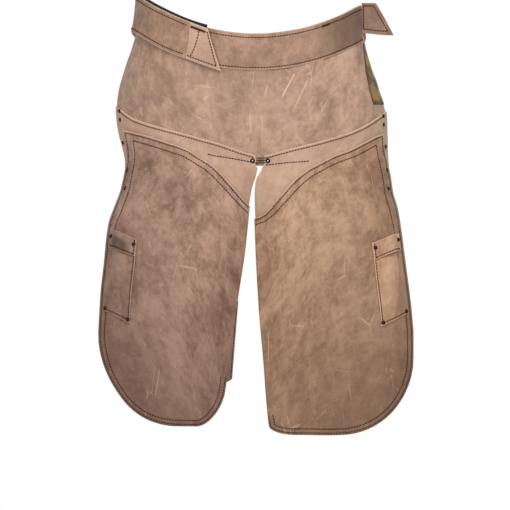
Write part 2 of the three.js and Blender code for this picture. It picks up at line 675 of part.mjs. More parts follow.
function addRivets(side) {
  const name = side.name;
  const spot = (out, z) => (layer) => onFront(side, out, z, layer);
  const yoke = `${name}_yoke`;
  const leg = [`${name}_leg_panel`, `${name}_wear_patch`];
  const edge = (z) => spot(side.outer(z) - EDGE_RIVET, z);

  fasten(`${name}_crotch_rivet`, (layer) => onHips(side.crotchRivet, CROTCH_HEIGHT, layer),
    CROTCH_LAYER - 2 * GAP, LAYER + LEATHER, ["crotch_backing", "hip_panel", yoke]);
  [-88, -101].forEach((z, i) => {
    fasten(`${name}_yoke_rivet_${i + 1}`, edge(z + side.yokeShift), 0, LAYER + LEATHER,
      ["hip_panel", yoke]);
  });
  const belowLap = side.head(side.outer(LEG_TOP_ROW)) - YOKE_LAP - EDGE_RIVET;
  fasten(`${name}_yoke_rivet_3`, edge(belowLap), BASE_LAYER, PATCH_LAYER + LEATHER, leg);
  [1, -1].forEach((end, i) => {
    fasten(`${name}_strap_rivet_${i + 1}`, edge(STRAP_OUTER_HEIGHT + end * STRAP_WIDTH * 0.36),
      STRAP_LAYER, PATCH_LAYER + LEATHER, [`${name}_thigh_strap`, ...leg]);
  });
  const bandShare = POCKET_BAND / POCKET_HEIGHT;
  [[0.07, bandShare / 3, true], [0.93, bandShare / 3, true], [0.07, 0.96], [0.93, 0.96]]
    .forEach(([u, v, throughBand], i) => {
      const { out, z } = pocketPlace(side, u, v);
      const top = (throughBand ? POCKET_BAND_LAYER : POCKET_LAYER) + LEATHER;
      const drilled = [...leg, `${name}_pocket`];
      if (throughBand) drilled.push(`${name}_pocket_band`);
      fasten(`${name}_pocket_rivet_${i + 1}`, spot(out, z), BASE_LAYER, top, drilled);
    });
}

addHipPanel();
addHipLabel();
addWaistband();
addBelt();
addRightTab();
addLeftTab();
addCrotchBacking();
SIDES.forEach((side) => {
  addYoke(side);
  addLeg(side);
  addPocket(side);
  addThighStrap(side);
  addStrapPads(side);
  addStrapTail(side);
  addRivets(side);
});

const apron = new THREE.Group();
pieces.forEach(({ geometry, material }, name) => {
  const mesh = new THREE.Mesh(geometry, material);
  mesh.name = name;
  apron.add(mesh);
});

export default apron;
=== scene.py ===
"""A split-leg leather work apron: its hides, seams, rivets and fastenings, on a plain stage.

Lengths are millimetres until a mesh is made. A side's curves give a distance outward from the
middle of the wearer, or a height at such a distance; +X is the wearer's left and +Y the back.
"""

import math

import bpy
import numpy as np
from bpy.props import FloatProperty, FloatVectorProperty, PointerProperty
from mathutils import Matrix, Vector
from mathutils.kdtree import KDTree


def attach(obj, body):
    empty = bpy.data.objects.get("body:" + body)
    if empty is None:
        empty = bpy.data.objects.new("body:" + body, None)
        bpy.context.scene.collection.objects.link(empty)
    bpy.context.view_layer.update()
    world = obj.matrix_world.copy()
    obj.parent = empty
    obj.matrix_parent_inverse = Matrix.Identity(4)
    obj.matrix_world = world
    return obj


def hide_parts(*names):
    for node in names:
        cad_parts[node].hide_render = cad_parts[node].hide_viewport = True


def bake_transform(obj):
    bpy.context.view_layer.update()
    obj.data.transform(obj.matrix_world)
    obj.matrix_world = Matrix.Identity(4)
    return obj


bl_info = {
    "name": "Split-Leg Work Apron",
    "version": (1, 0, 0),
    "blender": (4, 5, 0),
    "location": "3D View > Sidebar > Apron",
    "description": "Builds a leather split-leg work apron piece by piece",
    "category": "Object",
}

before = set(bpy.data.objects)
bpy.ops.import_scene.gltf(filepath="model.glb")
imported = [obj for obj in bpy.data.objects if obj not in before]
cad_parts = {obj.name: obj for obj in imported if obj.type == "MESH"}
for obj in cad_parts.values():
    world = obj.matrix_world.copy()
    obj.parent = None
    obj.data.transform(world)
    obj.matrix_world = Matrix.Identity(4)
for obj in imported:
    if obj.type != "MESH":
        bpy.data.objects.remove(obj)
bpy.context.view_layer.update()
MM = 0.001

# ---- layers off the form, as the model has them ----
LEATHER = 2.0
PAD = 1.0
GAP = 0.5
LAYER = LEATHER + GAP
LEG_EASE = 1.0
BASE_LAYER = LAYER + LEG_EASE
PATCH_LAYER = BASE_LAYER + LAYER + 0.2
POCKET_LAYER = PATCH_LAYER + LAYER
POCKET_BAND_LAYER = POCKET_LAYER + LAYER + 0.5 * GAP
BELT_PAD_LAYER = 2 * LAYER
BELT_LAYER = BELT_PAD_LAYER + 2 * (PAD + GAP)
STRAP_LAYER = BASE_LAYER - LEG_EASE - LEATHER
CLOSURE_LAYER = BASE_LAYER - 4 * GAP - 2 * PAD - LEATHER
CROTCH_LAYER = -LAYER - 3 * GAP

# ---- waist ----
WAIST_BACK_DEPTH = 96.0
BAND_HEIGHT = 55.0
BAND_LEFT_END = 78.0
BAND_RIGHT_END = -74.0
BELT_HEIGHT = 56.0
BELT_SAG = 18.0
BELT_LEFT_END = 93.0
BELT_HINGE = -92.0
TAB_ROOT = -32.5
LOOP_BEYOND_ROOT = 9.0
TAB_LENGTH = 52.0
RIGHT_TAB_TOP_LENGTH = 28.0
RIGHT_TAB_DROP = 0.36
LEFT_TAB_TOP_LENGTH = 22.0
LEFT_TAB_HEIGHT = 46.0
TAB_SPREAD = 25.0
LEFT_TAB_LOW = 29.0
HINGE_GAP = 2.5
HIP_END = 88.0
LEFT_TAB_START = -1.2
LABEL_TOP = 14.0
LABEL_HEIGHT = 93.0
WAIST_ARC = 3.1  # millimetres a degree, to count cells by: the mean is 2.6 to 2.8

# ---- seams ----
TOP_SEAM = 6.5
BAND_LOWER_SEAM = 3.2
BELT_LOWER_SEAM = 5.0
YOKE_SEAM = 4.2
PATCH_ROW_WIDENING = 2.8
CROTCH_ROWS = (-158.5, -162.0, -165.5)
WAIST_BAR = (37.5, 43.5)
BAR_HALF_GAP = 0.9
BAR_PITCH = 2.2

# ---- legs ----
LEG_FRONT_DEPTH = 126.0
LEG_WRAP = 0.8
YOKE_LAP = 18.0
LEG_FORM_TOP = -135.0
LEG_FORM_FULL = -330.0
INNER_EDGE_TOP = -171.0
EDGE = 0.3
CROTCH_HEIGHT = -163.0
EDGE_RIVET = 6.0

# ---- pockets ----
POCKET_WIDTH = 38.0
POCKET_HEIGHT = 124.0
POCKET_TOP_SLANT = 12.0
POCKET_BOTTOM_SLANT = 19.0
POCKET_BELLY = 14.0
POCKET_FLANGE = 0.16
POCKET_SEAM = 0.92
POCKET_BAND = 26.0
POCKET_BAND_PROUD = 4.0
POCKET_INSET = 7.0

# ---- straps ----
STRAP_WIDTH = 40.0
TAIL_GAP = 1.5
STRAP_BEHIND = 62.0
STRAP_OUTER_HEIGHT = -193.0
STRAP_INNER_HEIGHT = -352.0
STRAP_SEWN = 14.0
STRAP_CLOSED = 32.0
STRAP_END_SHARE = 0.08
TAIL_WIDTH = 34.0
TAIL_LENGTH = 130.0
TAIL_SLANT = 0.08

# ---- stage ----
FLOOR_RADIUS = 4000.0
FLOOR_HEIGHT = -1010.0
FLOOR_THICKNESS = 20.0
FLOOR_SIDES = 96


# ---- curves ----
def smooth(t):
    """A soft step from 0 to 1."""
    t = np.clip(t, 0, 1)
    return t * t * (3 - 2 * t)


class Curve:
    """A smooth curve through (key, value) pairs with rising keys."""

    def __init__(self, *pairs):
        self.keys, self.values = np.array(pairs, float).T
        spots = np.arange(len(pairs))
        before, after = np.maximum(spots - 1, 0), np.minimum(spots + 1, len(pairs) - 1)
        self.slopes = (self.values[after] - self.values[before]) / (
            self.keys[after] - self.keys[before]
        )

    def __call__(self, key):
        k = np.clip(key, self.keys[0], self.keys[-1])
        i = np.clip(np.searchsorted(self.keys, k) - 1, 0, len(self.keys) - 2)
        span = self.keys[i + 1] - self.keys[i]
        t = (k - self.keys[i]) / span
        rise = self.values[i + 1] - self.values[i]
        bend = t * (1 - t) * span
        return (
            self.values[i]
            + rise * smooth(t)
            + bend * ((1 - t) * self.slopes[i] - t * self.slopes[i + 1])
        )


class Side:
    """One side of the wearer: its outlines, and where its fittings stand."""

    def __init__(self, **facts):
        self.__dict__.update(facts)


RIGHT = Side(
    name="right",
    sign=-1,
    outer=Curve(
        (-421, 230), (-358, 226), (-316, 221), (-260, 213.5), (-238, 206), (-206, 194.5),
        (-176, 191), (-157, 192), (-125, 200), (-106, 204.5), (-79, 206), (-58, 203.5),
        (-40, 199), (-13, 190.5), (2, 185), (26, 178), (50, 173), (90, 169),
    ),
    inner=Curve(
        (-562, 57), (-503, 49), (-391, 34), (-305, 21), (-253, 14.5), (-226, 11),
        (-200, 5.5), (-188, 1), (-171, -4),
    ),
    head=Curve(
        (-6, -169), (37.5, -161), (70, -155), (96, -145), (118.5, -137), (151.5, -125),
        (193.5, -113), (205, -110),
    ),
    patch=Curve(
        (6, -236), (20, -219), (37.5, -197), (61.5, -172), (85.5, -156), (99, -147),
        (118.5, -139), (151.5, -127), (193.5, -115), (205, -112),
    ),
    yoke=Curve(
        (-6, -156), (21, -149), (54, -137), (85.5, -128), (118.5, -119), (142.5, -112),
        (168, -104), (184, -97), (205, -81),
    ),
    yoke_start=-1.0,
    yoke_shift=0.0,
    lower_seam=(-4.0, 70.0),
    patch_inset=9.0,
    crotch_rivet=-1.2,
    tail_top=24.0,
    band_rise=58.0,
    hem=(-562.0, 0.64, 141.0, 0.2, 59.0),
    pocket_top=-284.0,
    hinge=Vector((-0.1517, -0.0892, -0.1267)),
    hinge_axis=Vector((-0.8451, 0.4804, 0.2345)),
)
LEFT = Side(
    name="left",
    sign=1,
    outer=Curve(
        (-421, 233), (-379, 229), (-326, 222), (-295, 217), (-268, 213), (-238, 208),
        (-211, 200.5), (-185, 198), (-148, 195.5), (-103, 195.5), (-83, 193), (-58, 184.5),
        (-43, 180), (-28, 174), (10, 163.5), (50, 160), (90, 158),
    ),
    inner=Curve(
        (-575, 27), (-547, 24), (-463, 17.5), (-400, 12), (-316, 7), (-253, 4),
        (-206, 1.5), (-190, 3), (-180, 8.5), (-171, 12),
    ),
    head=Curve(
        (12, -171), (50, -168), (90, -164), (115.5, -155), (140, -145), (161, -133),
        (177, -124), (195, -118),
    ),
    patch=Curve(
        (0, -250), (18, -241.5), (37.5, -218), (55.5, -196), (75, -179), (94.5, -168),
        (115.5, -157), (140, -147), (161, -135), (177, -126), (195, -120),
    ),
    yoke=Curve(
        (12, -156), (58.5, -144), (108, -131), (140, -121), (165, -109), (181.5, -98),
        (195, -88),
    ),
    yoke_start=13.0,
    yoke_shift=-8.0,
    lower_seam=(16.0, 80.0),
    patch_inset=8.0,
    crotch_rivet=5.6,
    tail_top=14.0,
    band_rise=46.0,
    hem=(-575.0, 0.5, 116.0, 0.2, 14.0),
    pocket_top=-289.0,
    hinge=Vector((0.1337, -0.0981, -0.1388)),
    hinge_axis=Vector((-0.8468, -0.4758, -0.2378)),
)
SIDES = (RIGHT, LEFT)

front_depth = Curve((-110, 118), (-60, 114), (0, 107), (40, 104), (90, 104))
leg_bow = Curve((-575, 84), (-400, 98), (-250, 122), (-150, 146))


# ---- the form that the leather lies on ----
def ripple(side, out, z):
    """How far worn-in folds stand off the form."""
    from_edge = smooth((side.outer(z) - out) / 40)
    down = smooth((-z - 140) / 160)
    long_folds = 1.5 * np.sin(out / 22 + z / 150 + side.sign) * down
    soft = 0.8 * np.sin(out / 12.5 - z / 41 + 1.6 * np.sin(z / 57 + side.sign))
    slack = 0.5 * np.sin((out + 1.3 * z) / 17) * np.sin((out - 0.6 * z) / 23)
    return (long_folds + soft + slack) * from_edge


def front_of(side, out, z):
    """Front surface of the form, as a Y value."""
    across = np.clip(out / (side.outer(z) + EDGE), -1, 1)
    hip = -front_depth(z) * np.sqrt(np.maximum(1e-5, 1 - across**2))
    share = smooth((LEG_FORM_TOP - z) / (LEG_FORM_TOP - LEG_FORM_FULL))
    inner, outer = side.inner(z), side.outer(z)
    middle = (inner + outer) / 2
    reach = LEG_WRAP * (out - middle) / (outer - middle)
    bow = leg_bow(z) * (1 - np.sqrt(1 - np.clip(reach**2, 0, 0.98)))
    leg = bow - LEG_FRONT_DEPTH
    return hip + (leg - hip) * share - ripple(side, out, z)


def points_of(*parts):
    return np.stack(np.broadcast_arrays(*parts), axis=-1)


def unit(vectors):
    return vectors / np.maximum(np.linalg.norm(vectors, axis=-1, keepdims=True), 1e-9)


def on_front(side, out, z, layer):
    """Points on the front of the form, a distance off it."""
    out, z = np.asarray(out, float), np.asarray(z, float)
    step = 0.1
    slope_out = front_of(side, out + step, z) - front_of(side, out - step, z)
    slope_up = front_of(side, out, z + step) - front_of(side, out, z - step)
    normal = unit(points_of(side.sign * slope_out, -2 * step, slope_up))
    base = points_of(side.sign * out, front_of(side, out, z), z)
    return base + normal * np.asarray(layer, float)[..., None]


def on_hips(angle, z, layer):
    """The same, by degrees round the hips from the middle of the front, positive to the left."""
    angle, z, layer = np.broadcast_arrays(angle, z, np.asarray(layer, float))
    made = np.zeros(angle.shape + (3,))
    for side, chosen in ((RIGHT, angle < 0), (LEFT, angle >= 0)):
        out = (side.outer(z) + EDGE) * np.sin(np.radians(np.abs(angle)))
        made[chosen] = on_front(side, out, z, layer)[chosen]
    return made


def around_waist(angle, z):
    sin, cos = np.sin(np.radians(angle)), np.cos(np.radians(angle))
    deep = np.where(cos > 0, front_depth(z), WAIST_BACK_DEPTH)
    half = np.where(sin < 0, RIGHT.outer(z), LEFT.outer(z)) + EDGE
    wave = 0.7 * np.sin(np.radians(angle) * 9 + z / 19) * np.sin(np.radians(angle) * 4)
    return points_of((half + wave) * sin, -(deep + wave) * cos, z)


def on_waist(angle, z, layer):
    """Points round the whole waist, a distance off it."""
    angle, z = np.asarray(angle, float), np.asarray(z, float)
    step = 0.1
    round_it = around_waist(angle + step, z) - around_waist(angle - step, z)
    up = around_waist(angle, z + step) - around_waist(angle, z - step)
    normal = unit(np.cross(round_it, up))
    return around_waist(angle, z) + normal * np.asarray(layer, float)[..., None]


def band_middle(angle):
    sin = np.sin(np.radians(angle))
    return np.where(sin < 0, RIGHT.band_rise, LEFT.band_rise) * sin**2


def belt_middle(angle):
    return band_middle(angle) - BELT_SAG * np.maximum(0, -np.cos(np.radians(angle)))


def belt_layer(angle):
    """The belt comes from under the band at the left to over it at the right."""
    behind = np.clip(
        (angle - BELT_LEFT_END) / (360 + BELT_HINGE - BELT_LEFT_END), 0, 1
    )
    return LAYER + (BELT_LAYER - LAYER) * behind


def hem_height(side, share):
    bottom, outer_width, outer_height, inner_width, inner_height = side.hem
    outer = np.clip((share - 1 + outer_width) / outer_width, 0, 1)
    inner = np.clip((inner_width - share) / inner_width, 0, 1)
    return (
        bottom
        + outer_height * (1 - np.sqrt(1 - outer**2))
        + inner_height * (1 - np.sqrt(1 - inner**2))
    )


def leg_start(side, z):
    """The leg flap's inner edge, running up into the yoke's."""
    return np.where(z > INNER_EDGE_TOP, side.yoke_start, side.inner(z))


def drawn_in(side, z):
    """How far a wear patch stops short of the leg's outer edge."""
    return side.patch_inset * (1 - smooth((-z - 125) / 80))


def leg_out(side, share, z, patch=False):
    start = leg_start(side, z)
    edge = side.outer(z) - (drawn_in(side, z) if patch else 0)
    return start + (edge - start) * share


def leg_top(side, share, curve, patch=False):
    """Height of a curve at each share across the leg flap."""
    z = np.full(np.shape(share), -140.0)
    for _ in range(14):
        z = 0.5 * (z + curve(leg_out(side, share, z, patch)))
    return z


# ---- outlines in the front view ----
def resampled(points, step):
    """The same line with its points evenly spread."""
    points = np.asarray(points, float)
    along = np.r_[0, np.cumsum(np.linalg.norm(np.diff(points, axis=0), axis=1))]
    count = max(2, int(round(along[-1] / step)) + 1)
    at = np.linspace(0, along[-1], count)
    return np.stack([np.interp(at, along, column) for column in points.T], axis=1)


def line_distance(points, line):
    """Distance from each point to a line of short steps."""
    gaps = np.linalg.norm(points[:, None, :] - line[None, :, :], axis=2)
    return gaps.min(axis=1)


def inset(side, line, near, widening):
    """A line's parallel to its right, with what would cross at its corners left out.

    widening: how much further in it lies along the top of a leg.
    """
    first, last = 15 * unit(line[0] - line[1]), 15 * unit(line[-1] - line[-2])
    line = resampled(np.concatenate([line[:1] + first, line, line[-1:] + last]), 1.0)
    wide = smooth((line[:, 1] + 290) / 60) * smooth((line[:, 0] + 5) / 60)
    distance = near + widening * wide
    along = unit(np.gradient(line, axis=0))
    moved = line + distance[:, None] * np.stack([along[:, 1], -along[:, 0]], axis=1)
    clear = line_distance(moved, line) > distance * 0.97
    clear &= moved[:, 0] > leg_start(side, moved[:, 1]) + 1.5
    return resampled(moved[clear], 1.0)


def patch_outline(side):
    """Down a wear patch's edge: along its top, down the outer side and round the hem."""
    spread = 0.5 - 0.5 * np.cos(np.linspace(0, np.pi, 90))
    top_z = leg_top(side, spread, side.patch, True)
    top = np.stack([leg_out(side, spread, top_z, True), top_z], axis=1)
    hem_start = side.hem[0] + side.hem[2]
    down = np.linspace(top_z[-1], hem_start, 120)[1:]
    outer = np.stack([side.outer(down) - drawn_in(side, down), down], axis=1)
    back = spread[::-1][1:]
    hem_z = hem_height(side, back)
    hem = np.stack([leg_out(side, back, hem_z), hem_z], axis=1)
    return np.concatenate([top, outer, hem])


# ---- meshes ----
def make_object(name, points, faces, material):
    mesh = bpy.data.meshes.new(name)
    mesh.from_pydata((np.asarray(points) * MM).tolist(), [], faces)
    mesh.polygons.foreach_set("use_smooth", np.ones(len(mesh.polygons), bool))
    mesh.materials.append(material)
    mesh.update()
    made = bpy.data.objects.new(name, mesh)
    bpy.context.scene.collection.objects.link(made)
    return made


def set_number(made, name, values):
    attribute = made.data.attributes.new(name, "FLOAT", "POINT")
    attribute.data.foreach_set("value", np.asarray(values, np.float32))


def set_cut(made, flat):
    """Gives each corner its place on the hide before it was sewn, in metres."""
    layer = made.data.uv_layers.new(name="cut")
    corner = np.zeros(len(made.data.loops), np.int64)
    made.data.loops.foreach_get("vertex_index", corner)
    layer.data.foreach_set("uv", (flat * MM)[corner].astype(np.float32).ravel())


def shares(length, cell, crowded=False):
    """Shares along a sheet, with close rows where its edges are rounded."""
    count = max(2, int(round(length / cell)))
    spread = np.linspace(0, 1, count + 1)
    if crowded:
        spread = 0.5 - 0.5 * np.cos(np.pi * spread)
    near = np.array([0.9, 3.0]) / length
    inner = spread[(spread > near[1] * 1.4) & (spread < 1 - near[1] * 1.4)]
    return np.r_[0, near, inner, 1 - near[::-1], 1]


def grid_faces(rows, columns, start, turned):
    """Quads of a grid of points that are numbered row by row."""
    at = start + np.arange(rows * columns).reshape(rows, columns)
    a, b, c, d = at[:-1, :-1], at[:-1, 1:], at[1:, 1:], at[1:, :-1]
    quads = np.stack([a, b, c, d] if not turned else [a, d, c, b], axis=-1)
    return quads.reshape(-1, 4)


def ring_of(rows, columns):
    """The numbers of a grid's border points, once round."""
    at = np.arange(rows * columns).reshape(rows, columns)
    return np.r_[at[0, :-1], at[:-1, -1], at[-1, :0:-1], at[:0:-1, 0]]


def path_length(points, axis):
    steps = np.linalg.norm(np.diff(points, axis=axis), axis=-1)
    start = np.zeros_like(np.take(steps, [0], axis=axis))
    return np.cumsum(np.concatenate([start, steps], axis=axis), axis=axis)


def edge_wear(points, ring, cut):
    """1 at a sheet's cut edge, falling to 0 a few millimetres in."""
    starts = np.flatnonzero(cut & ~np.roll(cut, 1))
    if len(starts):
        line = points[np.roll(ring, -starts[0])][: cut.sum()]
    else:
        line = points[np.r_[ring, ring[:1]]]
    border = resampled(line, 0.8)
    tree = KDTree(len(border))
    for i, point in enumerate(border):
        tree.insert(point, i)
    tree.balance()
    gaps = np.array([tree.find(point)[2] for point in points])
    return np.clip(1 - gaps / 4.5, 0, 1)


def area_of(points, faces):
    corner = points[faces]
    cross = np.cross(corner[:, 2] - corner[:, 0], corner[:, 3] - corner[:, 1])
    return np.linalg.norm(cross, axis=1).sum() / 2


CUTS_MADE = []


def hide(name, place, us, vs, low, thick, material, joined=False, soiled_and_shaded=None):
    """A leather sheet with rounded edges. place(u, v, layer) puts its points.

    joined: its first edge runs on into another sheet, so it shows no cut edge there.
    soiled(u, v): how much darker it is painted, for soil and for painted shade; without it, darker
    towards the bottom.
    """
    u, v = np.meshgrid(us, vs)
    rows, columns = u.shape
    ring = ring_of(rows, columns)
    lift = np.zeros(rows * columns)
    cut = ring % columns > 0 if joined else np.ones(len(ring), bool)
    lift[ring[cut]] = 0.28 * thick
    lift = lift.reshape(rows, columns)
    front = place(u, v, low + thick - lift)
    back = place(u, v, low + lift)
    points = np.concatenate([front.reshape(-1, 3), back.reshape(-1, 3)])
    count = rows * columns
    after = np.roll(ring, -1)
    wall = np.stack([ring, ring + count, after + count, after], axis=1)
    faces = np.concatenate(
        [
            grid_faces(rows, columns, 0, True),
            grid_faces(rows, columns, count, False),
            wall[:, ::-1],
        ]
    )
    corner = points[faces]
    middle = points.mean(axis=0)
    facing = np.cross(corner[:, 2] - corner[:, 0], corner[:, 3] - corner[:, 1])
    if ((corner.mean(axis=1) - middle) * facing).sum() < 0:
        faces = faces[:, ::-1]
    made = make_object(name, points, faces.tolist(), material)
    across, down = path_length(front, 1), path_length(front, 0)
    offset = 700.0 * len(CUTS_MADE)
    flat = np.stack([across - across[:, -1:] / 2 + offset, -down], axis=-1)
    set_cut(made, np.tile(flat.reshape(-1, 2), (2, 1)))
    wear = edge_wear(front.reshape(-1, 3), ring, cut)
    set_number(made, "rim", np.tile(wear, 2))
    set_number(made, "flesh", np.repeat([0.0, 1.0], count))
    drop = (front[..., 2].max() - front[..., 2]) / max(1, np.ptp(front[..., 2]))
    # The soil attribute holds soil and painted shade together; the finish darkens by it.
    soil = soiled_and_shaded(u, v) if soiled_and_shaded else drop**2
    set_number(made, "soil", np.tile(soil.ravel(), 2))
    area = area_of(front.reshape(-1, 3), grid_faces(rows, columns, 0, True)) * MM**2
    CUTS_MADE.append(name)
    return made


# ---- thread ----
def stitches(line, normals, sizes, pitch):
    """Points and faces of a row of stitches that follows a line on the leather."""
    radius = sizes.thread / MM / 2
    steps = np.linalg.norm(np.diff(line, axis=0), axis=1)
    along = np.r_[0, np.cumsum(steps)]
    count = max(1, int(along[-1] // pitch))
    ends = np.linspace(0, along[-1], count + 1)
    middle = (ends[1:] + ends[:-1]) / 2
    length = (ends[1] - ends[0]) * sizes.stitch_share
    at = np.stack([np.interp(middle, along, c) for c in line.T], axis=1)
    ahead = np.stack([np.interp(middle + length / 2, along, c) for c in line.T], axis=1)
    behind = np.stack([np.interp(middle - length / 2, along, c) for c in line.T], axis=1)
    normal = unit(np.stack([np.interp(middle, along, c) for c in normals.T], axis=1))
    forward = unit(ahead - behind)
    side = unit(np.cross(forward, normal))
    ring_at = np.array([-0.5, -0.36, 0.0, 0.36, 0.5]) * length
    ring_size = np.array([0.35, 0.9, 1.0, 0.9, 0.35]) * radius
    ring_height = np.array([-0.9, 0.1, 0.35, 0.1, -0.9]) * radius
    turns = np.linspace(0, 2 * np.pi, 6, endpoint=False)
    a = np.repeat(ring_at, 6)
    b = np.outer(ring_size, np.cos(turns)).ravel()
    h = (np.outer(ring_size, np.sin(turns)) + ring_height[:, None]).ravel()
    points = (
        at[:, None]
        + forward[:, None] * a[None, :, None]
        + side[:, None] * b[None, :, None]
        + normal[:, None] * h[None, :, None]
    )
    bead = []
    for ring in range(4):
        for k in range(6):
            low, high = ring * 6 + k, ring * 6 + (k + 1) % 6
            bead.append((low, high, high + 6, low + 6))
    caps = [tuple(range(5, -1, -1)), tuple(range(24, 30))]
    faces = []
    for i in range(count):
        faces += [tuple(30 * i + k for k in face) for face in bead + caps]
    return points.reshape(-1, 3), faces


class Thread:
    """Gathers rows of stitches into one mesh."""

    def __init__(self, sizes):
        self.sizes = sizes
        self.points = []
        self.faces = []
        self.count = 0

    def row(self, place, top, under=None, pitch=None):
        """Sews along place(layer): stitches on the top face, and on the under one if given."""
        pitch = pitch or self.sizes.stitch_pitch / MM
        for layer, sense in ((top, 1), (under, -1)):
            if layer is None:
                continue
            line = place(layer)
            normals = unit(place(layer + 1) - place(layer)) * sense
            points, faces = stitches(line, normals, self.sizes, pitch)
            self.points.append(points)
            self.faces += [tuple(self.count + k for k in face) for face in faces]
            self.count += len(points)

    def made(self, name, material):
        return make_object(name, np.concatenate(self.points), self.faces, material)


# ---- materials ----
class Value:
    """A shader socket that Python's operators work on."""

    def __init__(self, finish, socket):
        self.finish = finish
        self.socket = socket

    def __add__(self, other):
        return self.finish.math("ADD", self, other)

    __radd__ = __add__

    def __sub__(self, other):
        return self.finish.math("SUBTRACT", self, other)

    def __rsub__(self, other):
        return self.finish.math("SUBTRACT", other, self)

    def __mul__(self, other):
        return self.finish.math("MULTIPLY", self, other)

    __rmul__ = __mul__

    def __pow__(self, other):
        return self.finish.math("POWER", self, other)


class Finish:
    """One material and its nodes."""

    def __init__(self, name):
        self.material = bpy.data.materials.new(name)
        self.material.use_nodes = True
        self.tree = self.material.node_tree
        self.tree.nodes.clear()

    def node(self, kind, settings=None, sockets=None, output=0):
        """Adds a node: its settings first, then its sockets' values or links."""
        made = self.tree.nodes.new(kind)
        for key, value in (settings or {}).items():
            setattr(made, key, value)
        for key, value in (sockets or {}).items():
            if isinstance(value, Value):
                self.tree.links.new(value.socket, made.inputs[key])
            else:
                made.inputs[key].default_value = value
        return Value(self, made.outputs[output]) if len(made.outputs) else None

    def math(self, operation, a, b):
        return self.node("ShaderNodeMath", {"operation": operation}, {0: a, 1: b})

    def mix(self, share, a, b):
        """Colour a turning into colour b."""
        return self.node(
            "ShaderNodeMix", {"data_type": "RGBA"}, {0: share, 6: a, 7: b}, output=2
        )

    def step(self, value, low, high):
        """0 below low, 1 above high."""
        return self.node(
            "ShaderNodeMapRange",
            {"interpolation_type": "SMOOTHSTEP"},
            {"Value": value, "From Min": low, "From Max": high},
        )

    def noise(self, place, scale, detail=3.0, roughness=0.55, twist=0.0):
        return self.node(
            "ShaderNodeTexNoise",
            None,
            {
                "Vector": place,
                "Scale": scale,
                "Detail": detail,
                "Roughness": roughness,
                "Distortion": twist,
            },
        )

    def cells(self, place, scale, feature="F1"):
        return self.node(
            "ShaderNodeTexVoronoi",
            {"feature": feature},
            {"Vector": place, "Scale": scale},
        )

    def attribute(self, name):
        return self.node("ShaderNodeAttribute", {"attribute_name": name}, None, "Fac")

    def cut(self):
        return self.node("ShaderNodeUVMap", {"uv_map": "cut"})

    def stretched(self, place, turn, x, y):
        """Coordinates turned by so many degrees and then scaled."""
        return self.node(
            "ShaderNodeMapping",
            {"vector_type": "POINT"},
            {"Vector": place, "Rotation": (0, 0, math.radians(turn)), "Scale": (x, y, 1)},
        )

    def scratch(self, start, end, width):
        """1 along a line across the front, given by its ends in X and Z."""
        place = self.node("ShaderNodeTexCoord", output="Object")
        split = self.node("ShaderNodeSeparateXYZ", None, {"Vector": place}).socket.node
        x = Value(self, split.outputs["X"]) - start[0] * MM
        z = Value(self, split.outputs["Z"]) - start[1] * MM
        run, rise = (end[0] - start[0]) * MM, (end[1] - start[1]) * MM
        length = math.hypot(run, rise)
        along = x * (run / length) + z * (rise / length)
        wander = self.noise(place, 90.0, 3.0) * 0.002 - 0.001
        across = self.math("ABSOLUTE", z * (run / length) - x * (rise / length) + wander, 0.0)
        ends = self.step(along, 0.0, 0.004) * (1 - self.step(along, length * 0.7, length))
        return (1 - self.step(across, width * 0.3 * MM, width * 0.6 * MM)) * ends

    def bump(self, height, strength, distance):
        return self.node(
            "ShaderNodeBump",
            None,
            {"Height": height, "Strength": strength, "Distance": distance},
        )

    def surface(self, **sockets):
        """Closes the material with its shader."""
        names = {key.replace("_", " "): value for key, value in sockets.items()}
        shader = self.node("ShaderNodeBsdfPrincipled", None, names)
        self.node("ShaderNodeOutputMaterial", None, {"Surface": shader})
        return self.material


def opaque(colour):
    return (*colour, 1.0)


def scaled(colour, share):
    return (*(c * share for c in colour), 1.0)


